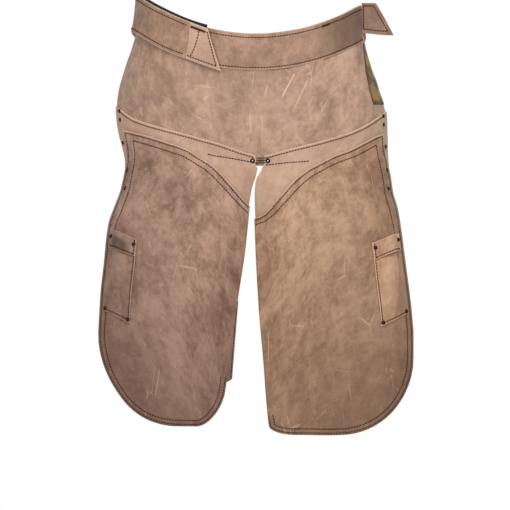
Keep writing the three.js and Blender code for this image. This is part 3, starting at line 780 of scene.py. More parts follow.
def leather_finish(
    name, dark, light, colours, soil=0.3, worn=1.0, burnished=False, cuts=(), edge_share=0.7
):
    """Oiled hide: cloudy tones, pull-up marks, scratches, a cut edge and a suede back.

    burnished: its edge is dark where soil and painted shade darken it.
    cuts: deep scratches, each as its ends in X and Z, its width, and how pale it is.
    edge_share: how plainly the cut edge shows.
    """
    finish = Finish(name)
    cut = finish.cut()
    clouds = finish.noise(cut, 9.0, 3.0, 0.6, 0.6)
    patches = finish.noise(cut, 38.0, 5.0, 0.66, 0.4)
    fine = finish.noise(cut, 120.0, 4.0, 0.7)
    grain = finish.noise(cut, 380.0, 3.0, 0.7)
    brushed = finish.noise(finish.stretched(cut, 8, 60, 9), 1.0, 4.0, 0.65)
    tone = clouds * 0.27 + patches * 0.33 + fine * 0.2 + brushed * 0.12 + grain * 0.08
    colour = finish.mix(finish.step(tone, 0.39, 0.61), opaque(dark), opaque(light))
    # Darkens by the soil attribute: soil, and painted shade where a piece paints it.
    colour = finish.mix(finish.attribute("soil") * soil, colour, scaled(dark, 0.6))
    smudges = finish.step(finish.noise(cut, 30.0, 5.0, 0.68, 0.8), 0.54, 0.7)
    colour = finish.mix(smudges * 0.28, colour, scaled(dark, 0.74))
    marks = finish.cells(finish.stretched(cut, 24, 26, 7), 1.0, "DISTANCE_TO_EDGE")
    here = finish.step(finish.noise(cut, 13.0, 2.0), 0.54, 0.66)
    scratches = (1 - finish.step(marks, 0.004, 0.016)) * here
    second = finish.cells(finish.stretched(cut, -52, 40, 11), 1.0, "DISTANCE_TO_EDGE")
    there = finish.step(finish.noise(cut, 17.0, 2.0, 0.5, 1.0), 0.58, 0.68)
    scratches = scratches + (1 - finish.step(second, 0.003, 0.012)) * there * 0.7
    rubbed = finish.step(finish.noise(cut, 48.0, 4.0, 0.7, 1.2), 0.58, 0.72)
    specks = 1 - finish.step(finish.cells(cut, 120.0), 0.05, 0.16)
    specks = specks * finish.step(finish.noise(cut, 60.0, 2.0), 0.52, 0.6)
    pale = opaque([c * 0.5 + 0.5 * w for c, w in zip(light, colours.cut_edge)])
    for start, end, width, weight in cuts:
        scratches = scratches + finish.scratch(start, end, width) * weight
    colour = finish.mix(
        (scratches * 0.42 + rubbed * 0.3 + specks * 0.3) * worn, colour, pale
    )
    rim = finish.attribute("rim")
    edge = finish.step(rim, 0.6, 0.95)
    edge_tone = opaque(colours.cut_edge)
    if burnished:
        below = finish.step(finish.attribute("soil"), 0.04, 0.16)
        edge_tone = finish.mix(below, edge_tone, opaque(colours.burnished))
    colour = finish.mix(edge * edge_share, colour, edge_tone)
    flesh = finish.attribute("flesh")
    fuzz = finish.noise(cut, 160.0, 5.0, 0.75)
    suede = finish.mix(fuzz, scaled(colours.flesh, 0.72), opaque(colours.flesh))
    colour = finish.mix(finish.step(flesh, 0.6, 0.95), colour, suede)
    pores = finish.cells(cut, 1100.0)
    relief = pores * 0.5 + grain * 0.7 + patches * 0.8 - scratches * 0.5
    relief = relief + flesh * fuzz * 1.5
    normal = finish.bump(relief, 0.4, 0.0009)
    rough = 0.56 + patches * 0.16 + flesh * 0.16 + edge * 0.1
    return finish.surface(
        Base_Color=colour,
        Roughness=rough,
        Normal=normal,
        Sheen_Weight=0.12,
        Sheen_Roughness=0.45,
        Specular_IOR_Level=0.36,
    )


def pad_finish(name, colour):
    """Hook-and-loop fastener: black pile with a tight weave under it."""
    finish = Finish(name)
    cut = finish.cut()
    pile = finish.noise(cut, 900.0, 4.0, 0.8)
    loops = finish.cells(cut, 650.0)
    tone = finish.mix(pile, scaled(colour, 0.6), scaled(colour, 1.7))
    return finish.surface(
        Base_Color=tone,
        Roughness=0.92,
        Normal=finish.bump(pile + loops, 0.7, 0.0008),
        Sheen_Weight=0.2,
    )


def label_finish(name, colours):
    """A blank patch of darker, waxed leather with a rubbed golden middle."""
    finish = Finish(name)
    cut = finish.cut()
    clouds = finish.noise(cut, 60.0, 4.0, 0.6)
    worn = finish.step(finish.noise(cut, 42.0, 3.0, 0.6, 1.0), 0.4, 0.62)
    tone = finish.mix(worn, opaque(colours.label), opaque(colours.label_worn))
    rim = finish.step(finish.attribute("rim"), 0.0, 0.8)
    tone = finish.mix(rim * 0.8, tone, scaled(colours.label, 0.75))
    grain = finish.cells(cut, 1300.0)
    return finish.surface(
        Base_Color=tone,
        Roughness=0.42 + clouds * 0.15,
        Normal=finish.bump(grain + clouds, 0.3, 0.0006),
        Specular_IOR_Level=0.5,
    )


def thread_finish(name, colour):
    """Waxed thread, twisted, so that each stitch catches the light unevenly."""
    finish = Finish(name)
    place = finish.node("ShaderNodeTexCoord", output="Object")
    twist = finish.noise(place, 2600.0, 2.0, 0.6)
    tone = finish.mix(twist, scaled(colour, 0.55), scaled(colour, 1.5))
    return finish.surface(
        Base_Color=tone,
        Roughness=0.75,
        Normal=finish.bump(twist, 0.5, 0.0004),
        Specular_IOR_Level=0.2,
    )


def rivet_finish(name, colour):
    """Antiqued steel, rubbed bright where the cap stands highest, with a painted highlight there
    as well.
    """
    finish = Finish(name)
    place = finish.node("ShaderNodeTexCoord", output="Object")
    dull = finish.noise(place, 700.0, 4.0, 0.7)
    bright = finish.attribute("bright")
    tone = finish.mix(dull, scaled(colour, 0.6), scaled(colour, 1.4))
    # Paler centre: rubbed wear together with a painted highlight.
    tone = finish.mix(finish.step(bright, 0.3, 0.9), tone, (0.62, 0.58, 0.52, 1.0))
    return finish.surface(
        Base_Color=tone,
        Metallic=0.9,
        Roughness=0.34 + dull * 0.25,
        Normal=finish.bump(dull, 0.2, 0.0003),
    )


MATERIALS = {}
# Each deep scratch on the hip panel: its ends in X and Z, its width, and how pale it is.
HIP_SCRATCHES = (
    ((60, -31), (37, -74), 2.2, 1.5),
    ((80, -40), (57, -89), 1.8, 1.1),
    ((-8, -92), (-6, -124), 3.2, 0.7),
    ((11, -100), (11.5, -150), 2.4, 0.5),
    ((-98, -92), (-74, -104), 1.6, 0.8),
    ((110, -70), (96, -96), 1.4, 0.8),
)


def finishes(colours):
    """All the finishes, made once."""
    if not MATERIALS:
        MATERIALS.update(
            hip=leather_finish(
                "hip_leather", colours.hip_dark, colours.hip_light, colours, 0.6, 1.4,
                cuts=HIP_SCRATCHES,
            ),
            band=leather_finish(
                "band_leather", colours.band_dark, colours.band_light, colours, 0.75, 0.9
            ),
            right=leather_finish(
                "right_leg_leather", colours.right_dark, colours.right_light, colours, 0.7,
                burnished=True,
            ),
            left=leather_finish(
                "left_leg_leather", colours.left_dark, colours.left_light, colours, 0.75,
                burnished=True,
            ),
            smooth=leather_finish(
                "smooth_leather", colours.smooth_dark, colours.smooth_light, colours, 0.0, 0.6
            ),
            right_pocket=leather_finish(
                "right_pocket_leather", scaled(colours.right_dark, 0.85)[:3],
                scaled(colours.right_light, 0.7)[:3], colours, 1.0, edge_share=0.25,
            ),
            left_pocket=leather_finish(
                "left_pocket_leather", scaled(colours.left_dark, 1.5)[:3],
                scaled(colours.left_light, 0.98)[:3], colours, 0.9, edge_share=0.5,
            ),
            pad=pad_finish("hook_and_loop", colours.pad),
            label=label_finish("label", colours),
            thread=thread_finish("thread", colours.thread),
            rivet=rivet_finish("antiqued_rivet", colours.rivet),
        )
    return MATERIALS


# ---- rivets ----
def rivet_rings(style):
    """Radius, height and brightness (rubbed wear and painted highlight) down a rivet's cap, in
    shares of its radius.
    """
    if style == "ringed":
        return [
            (0.0, 0.34, 1), (0.3, 0.3, 1), (0.36, 0.12, 0.2), (0.52, 0.1, 0),
            (0.6, 0.4, 0), (0.8, 0.44, 0.1), (0.95, 0.3, 0), (1.0, 0.1, 0), (0.98, 0.0, 0),
        ]
    return [
        (0.0, 0.5, 0.35), (0.35, 0.47, 0.25), (0.65, 0.38, 0.1), (0.88, 0.22, 0),
        (1.0, 0.06, 0), (0.97, 0.0, 0),
    ]


def rivet_cap(point, normal, radius, style):
    """Points, faces and brightness of one closed rivet cap."""
    turns = 20
    up = Vector(normal).normalized()
    side = up.orthogonal().normalized()
    ahead = up.cross(side)
    rings = rivet_rings(style)
    points, bright = [], []
    for share, height, shine in rings[1:]:
        for k in range(turns):
            a = 2 * math.pi * k / turns
            spot = (side * math.cos(a) + ahead * math.sin(a)) * share * radius
            points.append(tuple(Vector(point) + spot + up * height * radius))
            bright.append(shine)
    faces = []
    for ring in range(len(rings) - 2):
        for k in range(turns):
            low, high = ring * turns + k, ring * turns + (k + 1) % turns
            faces.append((high, low, low + turns, high + turns))
    top, bottom = len(points), len(points) + 1
    points.append(tuple(Vector(point) + up * rings[0][1] * radius))
    points.append(tuple(Vector(point) - up * 0.3 * radius))
    bright += [rings[0][2], 0]
    last = (len(rings) - 2) * turns
    for k in range(turns):
        faces.append((top, k, (k + 1) % turns))
        faces.append((bottom, last + (k + 1) % turns, last + k))
    return points, faces, bright


def rivet_group(name, body, nodes, spots, material):
    """spots are (place(layer), low layer, high layer, radius, style); a cap goes on both faces."""
    points, faces, bright = [], [], []
    for place, low, high, radius, style in spots:
        normal = unit(place(1.0) - place(0.0))
        for layer, sense, size in ((high, 1, radius), (low, -1, radius * 0.85)):
            made = rivet_cap(place(layer), normal * sense, size, style if sense > 0 else "domed")
            faces += [tuple(len(points) + k for k in face) for face in made[1]]
            points += made[0]
            bright += made[2]
    made = make_object(name, points, faces, material)
    set_number(made, "bright", bright)
    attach(made, body)
    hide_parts(*nodes)
    return made


# ---- placements baked into meshes ----
def leg_blend(made, side):
    """Bakes a leg piece's placement into its mesh."""
    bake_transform(made)


def belt_blend(made):
    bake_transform(made)


# ---- properties ----
def shade(red, green, blue):
    """A colour from its screen values, 0 to 255."""
    values = [c / 255 for c in (red, green, blue)]
    return tuple(c / 12.92 if c <= 0.04045 else ((c + 0.055) / 1.055) ** 2.4 for c in values)


def colour_property(name, description, default):
    return FloatVectorProperty(
        name=name, description=description, default=default, size=3, subtype="COLOR",
        min=0.0, max=1.0,
    )


class ApronSizes(bpy.types.PropertyGroup):
    thread: FloatProperty(
        name="Thread", description="Thickness of the waxed thread", default=0.0017,
        subtype="DISTANCE", unit="LENGTH",
    )
    stitch_pitch: FloatProperty(
        name="Stitch pitch", description="From one stitch to the next", default=0.0044,
        subtype="DISTANCE", unit="LENGTH",
    )
    stitch_share: FloatProperty(
        name="Stitch share", description="Share of the pitch that a stitch takes up",
        default=0.9, subtype="FACTOR", min=0.2, max=1.0,
    )
    first_row: FloatProperty(
        name="First row", description="From a leg's edge to its outer row of stitches",
        default=0.0032, subtype="DISTANCE", unit="LENGTH",
    )
    second_row: FloatProperty(
        name="Second row", description="From a leg's edge to its inner row of stitches",
        default=0.0092, subtype="DISTANCE", unit="LENGTH",
    )
    cell: FloatProperty(
        name="Cell", description="Size of the hides' cells", default=0.0048,
        subtype="DISTANCE", unit="LENGTH",
    )
    rivet: FloatProperty(
        name="Rivet", description="Radius of a rivet's cap", default=0.0033,
        subtype="DISTANCE", unit="LENGTH",
    )


class ApronColours(bpy.types.PropertyGroup):
    hip_dark: colour_property("Hip, dark", "Deep tone of the hip panel", shade(146, 113, 95))
    hip_light: colour_property("Hip, light", "Pale tone of the hip panel", shade(200, 163, 139))
    band_dark: colour_property("Band, dark", "Deep tone of the band", shade(132, 101, 82))
    band_light: colour_property("Band, light", "Pale tone of the band", shade(180, 143, 119))
    right_dark: colour_property("Right leg, dark", "Its deep tone", shade(122, 89, 72))
    right_light: colour_property("Right leg, light", "Its pale tone", shade(186, 149, 128))
    left_dark: colour_property("Left leg, dark", "Its deep tone", shade(138, 102, 78))
    left_light: colour_property("Left leg, light", "Its pale tone", shade(198, 159, 128))
    smooth_dark: colour_property("Smooth hide, dark", "Its deep tone", shade(172, 136, 115))
    smooth_light: colour_property("Smooth hide, light", "Its pale tone", shade(196, 161, 138))
    cut_edge: colour_property("Cut edge", "Raw edge of the hide", shade(226, 193, 168))
    flesh: colour_property("Flesh side", "Suede back of the hide", shade(186, 152, 124))
    pad: colour_property("Pads", "Hook-and-loop pads", shade(26, 24, 24))
    burnished: colour_property("Burnished edge", "Dark edge of the hem", shade(84, 58, 44))
    label_worn: colour_property("Label, worn", "Its rubbed middle", shade(156, 122, 62))
    label: colour_property("Label", "Blank label patch", shade(86, 60, 38))
    thread: colour_property("Thread", "Waxed thread", shade(66, 34, 22))
    rivet: colour_property("Rivets", "Antiqued steel", shade(60, 42, 34))


def sizes_of(context):
    return context.scene.apron_sizes


def finishes_of(context):
    return finishes(context.scene.apron_colours)


# ---- operators ----
class APRON_OT_hips(bpy.types.Operator):
    """Hip panel, its crotch backing and the blank label on it"""

    bl_idname = "apron.hips"
    bl_label = "Hip Panel"

    def execute(self, context):
        looks, cell = finishes_of(context), sizes_of(context).cell / MM

        def bottom(angle):
            z = np.full(np.shape(angle), -150.0)
            for _ in range(14):
                side_z = []
                for side in SIDES:
                    out = (side.outer(z) + EDGE) * np.sin(np.radians(np.abs(angle)))
                    middle = smooth((np.abs(side.sign * out - 5) - 12) / 24)
                    side_z.append(side.head(out) - YOKE_LAP * middle)
                z = 0.5 * (z + np.where(angle < 0, side_z[0], side_z[1]))
            return z

        def place(u, v, layer):
            angle = -HIP_END + 2 * HIP_END * u
            top = band_middle(angle) - 12
            return on_hips(angle, top + (bottom(angle) - top) * v, layer)

        def soiled_and_shaded(u, v):
            # Darker down the middle, most near the top; and painted shade over the wearer's right
            # side, which lies away from the key light.
            middle = np.exp(-(((u - 0.49) / 0.15) ** 2)) * (1 - v)
            return 0.9 * middle + 0.25 * smooth((0.4 - u) / 0.2)

        panel = hide(
            "hip_panel_leather", place, shares(420, cell), shares(190, cell), 0.0, LEATHER,
            looks["hip"], soiled_and_shaded=soiled_and_shaded,
        )
        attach(panel, "hips")
        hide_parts("hip_panel")

        def backing(u, v, layer):
            return on_hips(-3 + 12 * u, CROTCH_HEIGHT + 6 - 12 * v, layer)

        piece = hide(
            "crotch_backing_leather", backing, shares(38, 3), shares(12, 3), CROTCH_LAYER,
            LEATHER, looks["smooth"],
        )
        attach(piece, "hips")
        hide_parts("crotch_backing")

        cut = Curve((-79, 66.5), (-64, 67), (-37, 69), (10, 79), (14, 80))

        def label(u, v, layer):
            z = LABEL_TOP - LABEL_HEIGHT * v
            start = cut(z)
            return on_hips(start + (HIP_END - 1 - start) * u, z, layer)

        patch = hide(
            "hip_label_patch", label, shares(50, 3), shares(LABEL_HEIGHT, 4), 2.1, PAD,
            looks["label"],
        )
        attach(patch, "hips")
        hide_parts("hip_label")
        return {"FINISHED"}


def unsoiled(u, v):
    return 0 * u


def half_soiled(u, v):
    return 0.5 + 0 * u


def left_end_shaded(u, v):
    """Painted shade: the band darkens towards its left end, where it turns round the side of the
    hip.
    """
    return smooth((u - 0.62) / 0.24)


def band_sheet(name, start, end, height, low, thick, look, cell, shift=0.0):
    """A strip that follows the band round the waist between two angles."""

    def place(u, v, layer):
        angle = start + (end - start) * u
        return on_waist(angle, band_middle(angle) + shift + height * (0.5 - v), layer)

    length = WAIST_ARC * abs(end - start)
    # The band is darkened towards its left end with painted shade.
    return hide(
        name, place, shares(length, cell), shares(height, cell), low, thick, look,
        soiled_and_shaded=left_end_shaded,
    )


class APRON_OT_waistband(bpy.types.Operator):
    """Waistband, its lining and the loop pad on it"""

    bl_idname = "apron.waistband"
    bl_label = "Waistband"

    def execute(self, context):
        looks, cell = finishes_of(context), sizes_of(context).cell / MM
        band = band_sheet(
            "waistband_leather", BAND_RIGHT_END, BAND_LEFT_END, BAND_HEIGHT, LAYER, LEATHER,
            looks["band"], cell,
        )
        lining = band_sheet(
            "waistband_lining_leather", BAND_RIGHT_END, BAND_LEFT_END, BAND_HEIGHT - 3,
            -LAYER, LEATHER, looks["band"], cell,
        )
        pad = band_sheet(
            "band_loop_strip", BAND_RIGHT_END, TAB_ROOT + LOOP_BEYOND_ROOT, BELT_HEIGHT + 3,
            BELT_PAD_LAYER, PAD, looks["pad"], cell, 2.0,
        )
        pieces = ((band, "waistband"), (lining, "waistband_lining"), (pad, "band_loop_pad"))
        for piece, node in pieces:
            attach(piece, "hips")
            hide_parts(node)
        return {"FINISHED"}


def right_tab_place(inset_by):
    """The right tab runs straight on from the belt; its slanted end points down."""
    curve = math.hypot(
        (RIGHT.outer(0) + EDGE) * math.cos(math.radians(TAB_ROOT)),
        front_depth(0) * math.sin(math.radians(TAB_ROOT)),
    )

    def place(u, v, layer):
        top = RIGHT_TAB_TOP_LENGTH - inset_by
        length = inset_by + u * (top + (TAB_LENGTH - 2 * inset_by - top) * v)
        height = BELT_HEIGHT - 2 * inset_by
        middle = band_middle(TAB_ROOT) - RIGHT_TAB_DROP * length
        angle = TAB_ROOT + np.degrees(length / curve)
        return on_waist(angle, middle + height * (0.5 - v), layer)

    return place


class APRON_OT_belt(bpy.types.Operator):
    """Belt round the back, with its pointed tab and hook-and-loop pads"""

    bl_idname = "apron.belt"
    bl_label = "Belt"

    def execute(self, context):
        looks, cell = finishes_of(context), sizes_of(context).cell / MM
        first, last = TAB_ROOT - 0.1, BELT_LEFT_END - 360

        def place(u, v, layer):
            angle = first + (last - first) * u
            wrapped = np.where(angle < BELT_HINGE, angle + 360, angle)
            lift = np.where(angle < BELT_HINGE, belt_layer(wrapped), BELT_LAYER)
            middle = np.where(angle < BELT_HINGE, belt_middle(wrapped), band_middle(angle))
            return on_waist(angle, middle + BELT_HEIGHT * (0.5 - v), layer + lift)

        belt = hide(
            "belt_leather", place, shares(640, cell), shares(BELT_HEIGHT, cell), 0.0, LEATHER,
            looks["band"], joined=True, soiled_and_shaded=unsoiled,
        )
        belt_blend(belt)
        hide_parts("belt_end", "back_belt")

        def pad_place(u, v, layer):
            angle = BELT_LEFT_END + 1.5 + 25.5 * u
            height = (BELT_HEIGHT - 8) * (0.5 - v)
            return on_waist(angle, belt_middle(angle) + height, layer + belt_layer(angle))

        pad = hide(
            "belt_loop_strip", pad_place, shares(60, cell), shares(44, cell), LAYER, PAD,
            looks["pad"],
        )
        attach(pad, "belt")
        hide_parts("belt_loop_pad")

        tab = hide(
            "right_tab_leather", right_tab_place(0), shares(TAB_LENGTH, 3),
            shares(BELT_HEIGHT, 4), BELT_LAYER, LEATHER, looks["smooth"],
            joined=True,
        )
        hooks = hide(
            "right_tab_hooks", right_tab_place(4), shares(44, 4), shares(44, 4),
            BELT_LAYER - GAP - PAD, PAD, looks["pad"],
        )
        for piece, node in ((tab, "right_tab"), (hooks, "right_tab_hook_pad")):
            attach(piece, "right_tab")
            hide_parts(node)
        return {"FINISHED"}


def left_tab_frame():
    """Root point, and the ways along and out of the left tab."""
    root = on_waist(BAND_LEFT_END, LEFT_TAB_LOW - 3, LAYER - GAP - PAD)
    spread = math.radians(TAB_SPREAD)
    along = np.array([math.cos(spread), math.sin(spread), 0])
    return root, along, np.array([along[1], -along[0], 0])


def left_tab_place(inset_by, root_at):
    """The left tab stands off the hip: flat, with a slanted end."""
    root, along, outward = left_tab_frame()

    def place(u, v, layer):
        low = LEFT_TAB_LOW + inset_by - 3 * smooth(u / 0.8)
        high = LEFT_TAB_LOW + LEFT_TAB_HEIGHT - inset_by
        z = high + (low - high) * v
        top = LEFT_TAB_TOP_LENGTH - 0.6 * inset_by
        length = top + (TAB_LENGTH - 1.6 * inset_by - top) * v
        reach = root_at + (length - root_at) * u + HINGE_GAP
        curl = 1.6 * smooth(u) * np.sin(3.1 * v)
        spot = root + along * reach[..., None] + outward * (layer + curl)[..., None]
        return np.concatenate([spot[..., :2], z[..., None]], axis=-1)

    return place


class APRON_OT_left_tab(bpy.types.Operator):
    """Unfastened tab at the left hip, with its hook pad"""

    bl_idname = "apron.left_tab"
    bl_label = "Left Tab"

    def execute(self, context):
        looks = finishes_of(context)
        tab = hide(
            "left_tab_leather", left_tab_place(0, LEFT_TAB_START), shares(TAB_LENGTH, 3),
            shares(LEFT_TAB_HEIGHT, 4), PAD + GAP, LEATHER, looks["band"],
            joined=True, soiled_and_shaded=half_soiled,
        )
        hooks = hide(
            "left_tab_hooks", left_tab_place(5, 5), shares(42, 4), shares(36, 4), 0.0, PAD,
            looks["pad"],
        )
        for piece, node in ((tab, "left_tab"), (hooks, "left_tab_hook_pad")):
            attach(piece, "left_tab")
            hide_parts(node)
        return {"FINISHED"}


def leg_lift(side, out, z):
    """Where the leg's own hide leaves the yoke's layer."""
    return LAYER + LEG_EASE * smooth((side.head(out) - z) / 12)


def leg_place(side, curve, patch):
    """Puts a leg sheet's points between a top curve and the hem."""

    def place(u, v, layer):
        top = leg_top(side, u, curve, patch)
        z = top + (hem_height(side, u) - top) * v
        out = leg_out(side, u, z, patch)
        return on_front(side, out, z, layer + (0 if patch else leg_lift(side, out, z)))

    return place


def patch_soil(u, v):
    """A leg darkens towards its hem and a little towards its outer side."""
    return np.clip(0.85 * v**2 + 0.3 * smooth((u - 0.15) / 0.5) * smooth(v / 0.3), 0, 1)


class APRON_OT_legs(bpy.types.Operator):
    """Leg flaps, each one hide from the yoke to the hem, and their wear patches"""

    bl_idname = "apron.legs"
    bl_label = "Leg Flaps"

    def execute(self, context):
        looks, cell = finishes_of(context), sizes_of(context).cell / MM
        for side in SIDES:
            us, vs = shares(200, cell, True), shares(440, cell)
            flap = hide(
                f"{side.name}_leg_leather", leg_place(side, side.yoke, False), us, vs, 0.0,
                LEATHER, looks["smooth"],
            )
            leg_blend(flap, side)
            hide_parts(f"{side.name}_yoke", f"{side.name}_leg_panel")
            patch = hide(
                f"{side.name}_patch_leather", leg_place(side, side.patch, True), us, vs,
                PATCH_LAYER, LEATHER, looks[side.name], soiled_and_shaded=patch_soil,
            )
            leg_blend(patch, side)
            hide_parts(f"{side.name}_wear_patch")
        return {"FINISHED"}


def pocket_spot(side, u, v):
    top = side.pocket_top + POCKET_TOP_SLANT * u
    bottom = side.pocket_top - POCKET_HEIGHT + POCKET_BOTTOM_SLANT * u
    z = top + (bottom - top) * v
    return side.outer(z) - POCKET_INSET - POCKET_WIDTH * (1 - u), z


def pocket_fold_shade(side):
    """Painted shade: a dark crease down the left pocket's fold, and its gusset darker beyond it as
    a face turned from the light; the right pocket darkens a little towards its bottom.
    """

    def soil(u, v):
        if side is RIGHT:
            return 0.15 * v
        # Painted shade: a dark crease along the fold, and a darker gusset beyond it.
        from_fold = u - (1.03 - 0.62 * v)
        crease = np.exp(-((from_fold / 0.03) ** 2)) * smooth((0.85 - v) / 0.3)
        return np.clip(0.9 * crease + 0.45 * smooth(from_fold / 0.06), 0, 1)

    return soil


def band_hollow_shade(side):
    """Painted shade: a dark hollow in the middle of the right pocket's band, as if it sagged open;
    the left one darkens a little towards its bottom.
    """

    def soil(u, v):
        if side is LEFT:
            return 0.2 * v
        # Painted shade of the hollow under the middle of the band.
        hollow = np.exp(-(((u - 0.5) / 0.26) ** 4)) * smooth((v - 0.1) / 0.5)
        return np.clip(1.6 * hollow, 0, 1)

    return soil


def pocket_arch(u):
    t = np.clip((u - POCKET_FLANGE) / (1 - 2 * POCKET_FLANGE), 0, 1)
    return np.maximum(0, np.sin(np.pi * t)) ** 0.8


def pocket_belly(u, v):
    down = np.clip(v / POCKET_SEAM, 0, 1)
    return POCKET_BELLY * pocket_arch(u) * (1 - down**2.5)


class APRON_OT_pockets(bpy.types.Operator):
    """Knife pockets low on the outer side of each leg, with the band over their mouths"""

    bl_idname = "apron.pockets"
    bl_label = "Pockets"

    def execute(self, context):
        looks = finishes_of(context)
        for side in SIDES:

            def front(u, v, layer, side=side):
                out, z = pocket_spot(side, u, v)
                return on_front(side, out, z, layer + pocket_belly(u, v))

            def band(u, v, layer, side=side):
                out, z = pocket_spot(side, u, v * POCKET_BAND / POCKET_HEIGHT)
                proud = pocket_belly(u, 0) + POCKET_BAND_PROUD * pocket_arch(u)
                return on_front(side, out, z, layer + proud)

            look, us = looks[f"{side.name}_pocket"], shares(POCKET_WIDTH, 1.1)
            pocket = hide(
                f"{side.name}_pocket_leather", front, us, shares(POCKET_HEIGHT, 3),
                POCKET_LAYER, LEATHER, look, soiled_and_shaded=pocket_fold_shade(side),
            )
            strip = hide(
                f"{side.name}_pocket_band_leather", band, us, shares(POCKET_BAND, 2),
                POCKET_BAND_LAYER, LEATHER, look, soiled_and_shaded=band_hollow_shade(side),
            )
            for piece, node in ((pocket, "pocket"), (strip, "pocket_band")):
                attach(piece, f"{side.name}_leg")
                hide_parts(f"{side.name}_{node}")
        return {"FINISHED"}


def spline(points, count):
    """Evenly spread points on a curve that passes through the given ones."""
    points = np.asarray(points, float)
    whole = np.concatenate(
        [2 * points[:1] - points[1:2], points, 2 * points[-1:] - points[-2:-1]]
    )
    line = []
    for a, b, c, d in zip(whole, whole[1:], whole[2:], whole[3:]):
        times = np.cumsum(
            [0] + [np.linalg.norm(q - p) ** 0.5 for p, q in ((a, b), (b, c), (c, d))]
        )
        for t in np.linspace(times[1], times[2], 24, endpoint=False):

            def between(p, q, i, j):
                return p + (q - p) * (t - times[i]) / (times[j] - times[i])

            ab, bc, cd = between(a, b, 0, 1), between(b, c, 1, 2), between(c, d, 2, 3)
            line.append(between(between(ab, bc, 0, 2), between(bc, cd, 1, 3), 1, 2))
    line.append(points[-1])
    line = np.array(line)
    along = np.r_[0, np.cumsum(np.linalg.norm(np.diff(line, axis=0), axis=1))]
    at = np.linspace(0, along[-1], count)
    return np.stack([np.interp(at, along, column) for column in line.T], axis=1)


def strap_place(side):
    """A thigh strap's points: both ends lie on the leg flap, and the rest goes round the back."""
    outer, inner = side.outer(STRAP_OUTER_HEIGHT), side.inner(STRAP_INNER_HEIGHT)

    def point(out, y, share):
        drop = STRAP_INNER_HEIGHT - STRAP_OUTER_HEIGHT
        return (side.sign * out, y, STRAP_OUTER_HEIGHT + drop * share)

    def closure(out):
        return on_front(side, out, STRAP_INNER_HEIGHT, CLOSURE_LAYER + LEATHER / 2)

    line = spline(
        [
            point(outer - 4, -30, 0),
            point(outer - 10, 0, 0.12),
            point(outer - 45, STRAP_BEHIND * 0.75, 0.3),
            point((outer + inner) / 2, STRAP_BEHIND, 0.5),
            point(inner + 45, STRAP_BEHIND * 0.62, 0.7),
            point(inner + 14, -16, 0.88),
            closure(inner + 6),
            closure(inner + 6 + STRAP_CLOSED),
        ],
        400,
    )
    tangent = np.gradient(line, axis=0)
    outward = unit(np.stack([tangent[:, 1], -tangent[:, 0], 0 * tangent[:, 0]], axis=1))
    at = np.linspace(0, 1, len(line))

    def along(values, u):
        return np.stack([np.interp(u, at, column) for column in values.T], axis=-1)

    def place(u, v, layer):
        across = STRAP_WIDTH * (0.5 - v)
        lift = side.sign * (layer - LEATHER / 2)
        free = along(line, u) + along(outward, u) * lift[..., None]
        free[..., 2] += across
        outer_z, inner_z = STRAP_OUTER_HEIGHT + across, STRAP_INNER_HEIGHT + across
        from_start, from_end = u / STRAP_END_SHARE, (1 - u) / STRAP_END_SHARE
        sewn_out = side.outer(outer_z) - STRAP_SEWN * (1 - from_start)
        closed_out = side.inner(inner_z) + 6 + STRAP_CLOSED * (1 - from_end)
        sewn = on_front(side, sewn_out, outer_z, STRAP_LAYER + layer)
        closed = on_front(side, closed_out, inner_z, CLOSURE_LAYER + layer)
        near_start = (1 - smooth((from_start - 1) / 2))[..., None]
        near_end = (1 - smooth(from_end - 1))[..., None]
        free = free + (sewn - free) * near_start
        return free + (closed - free) * near_end

    return place


class APRON_OT_straps(bpy.types.Operator):
    """Thigh straps round the back of the legs, their closures and hanging ends"""

    bl_idname = "apron.straps"
    bl_label = "Thigh Straps"

    def execute(self, context):
        looks, cell = finishes_of(context), sizes_of(context).cell / MM
        for side in SIDES:
            body = f"{side.name}_leg"
            strap = hide(
                f"{side.name}_strap_leather", strap_place(side), shares(400, cell),
                shares(STRAP_WIDTH, cell), 0.0, LEATHER, looks[side.name],
            )
            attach(strap, body)
            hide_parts(f"{body[:-4]}_thigh_strap")
            inner = side.inner(STRAP_INNER_HEIGHT)
            pads = (
                ("strap_hooks", "strap_hook_pad", CLOSURE_LAYER + LEATHER + GAP),
                ("strap_loops", "strap_loop_pad", CLOSURE_LAYER + LEATHER + 2 * GAP + PAD),
            )
            for name, node, low in pads:

                def pad(u, v, layer, side=side, inner=inner):
                    z = STRAP_INNER_HEIGHT + (STRAP_WIDTH - 6) * (0.5 - v)
                    return on_front(side, inner + 10 + 24 * u, z, layer)

                piece = hide(
                    f"{side.name}_{name}", pad, shares(24, 4), shares(34, 4), low, PAD,
                    looks["pad"],
                )
                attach(piece, body)
                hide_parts(f"{side.name}_{node}")

            def tail(u, v, layer, side=side):
                top = STRAP_INNER_HEIGHT - STRAP_WIDTH / 2 - TAIL_GAP
                bottom = top - TAIL_LENGTH + 12 * (1 - u) ** 2
                z = top + (bottom - top) * v
                out = side.tail_top + TAIL_SLANT * (top - z) + TAIL_WIDTH * u
                return on_front(side, out, z, layer)

            end = hide(
                f"{side.name}_tail_leather", tail, shares(TAIL_WIDTH, cell),
                shares(TAIL_LENGTH, cell), CLOSURE_LAYER, LEATHER, looks[side.name],
            )
            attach(end, f"{side.name}_strap_tail")
            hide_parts(f"{side.name}_strap_tail")
        return {"FINISHED"}


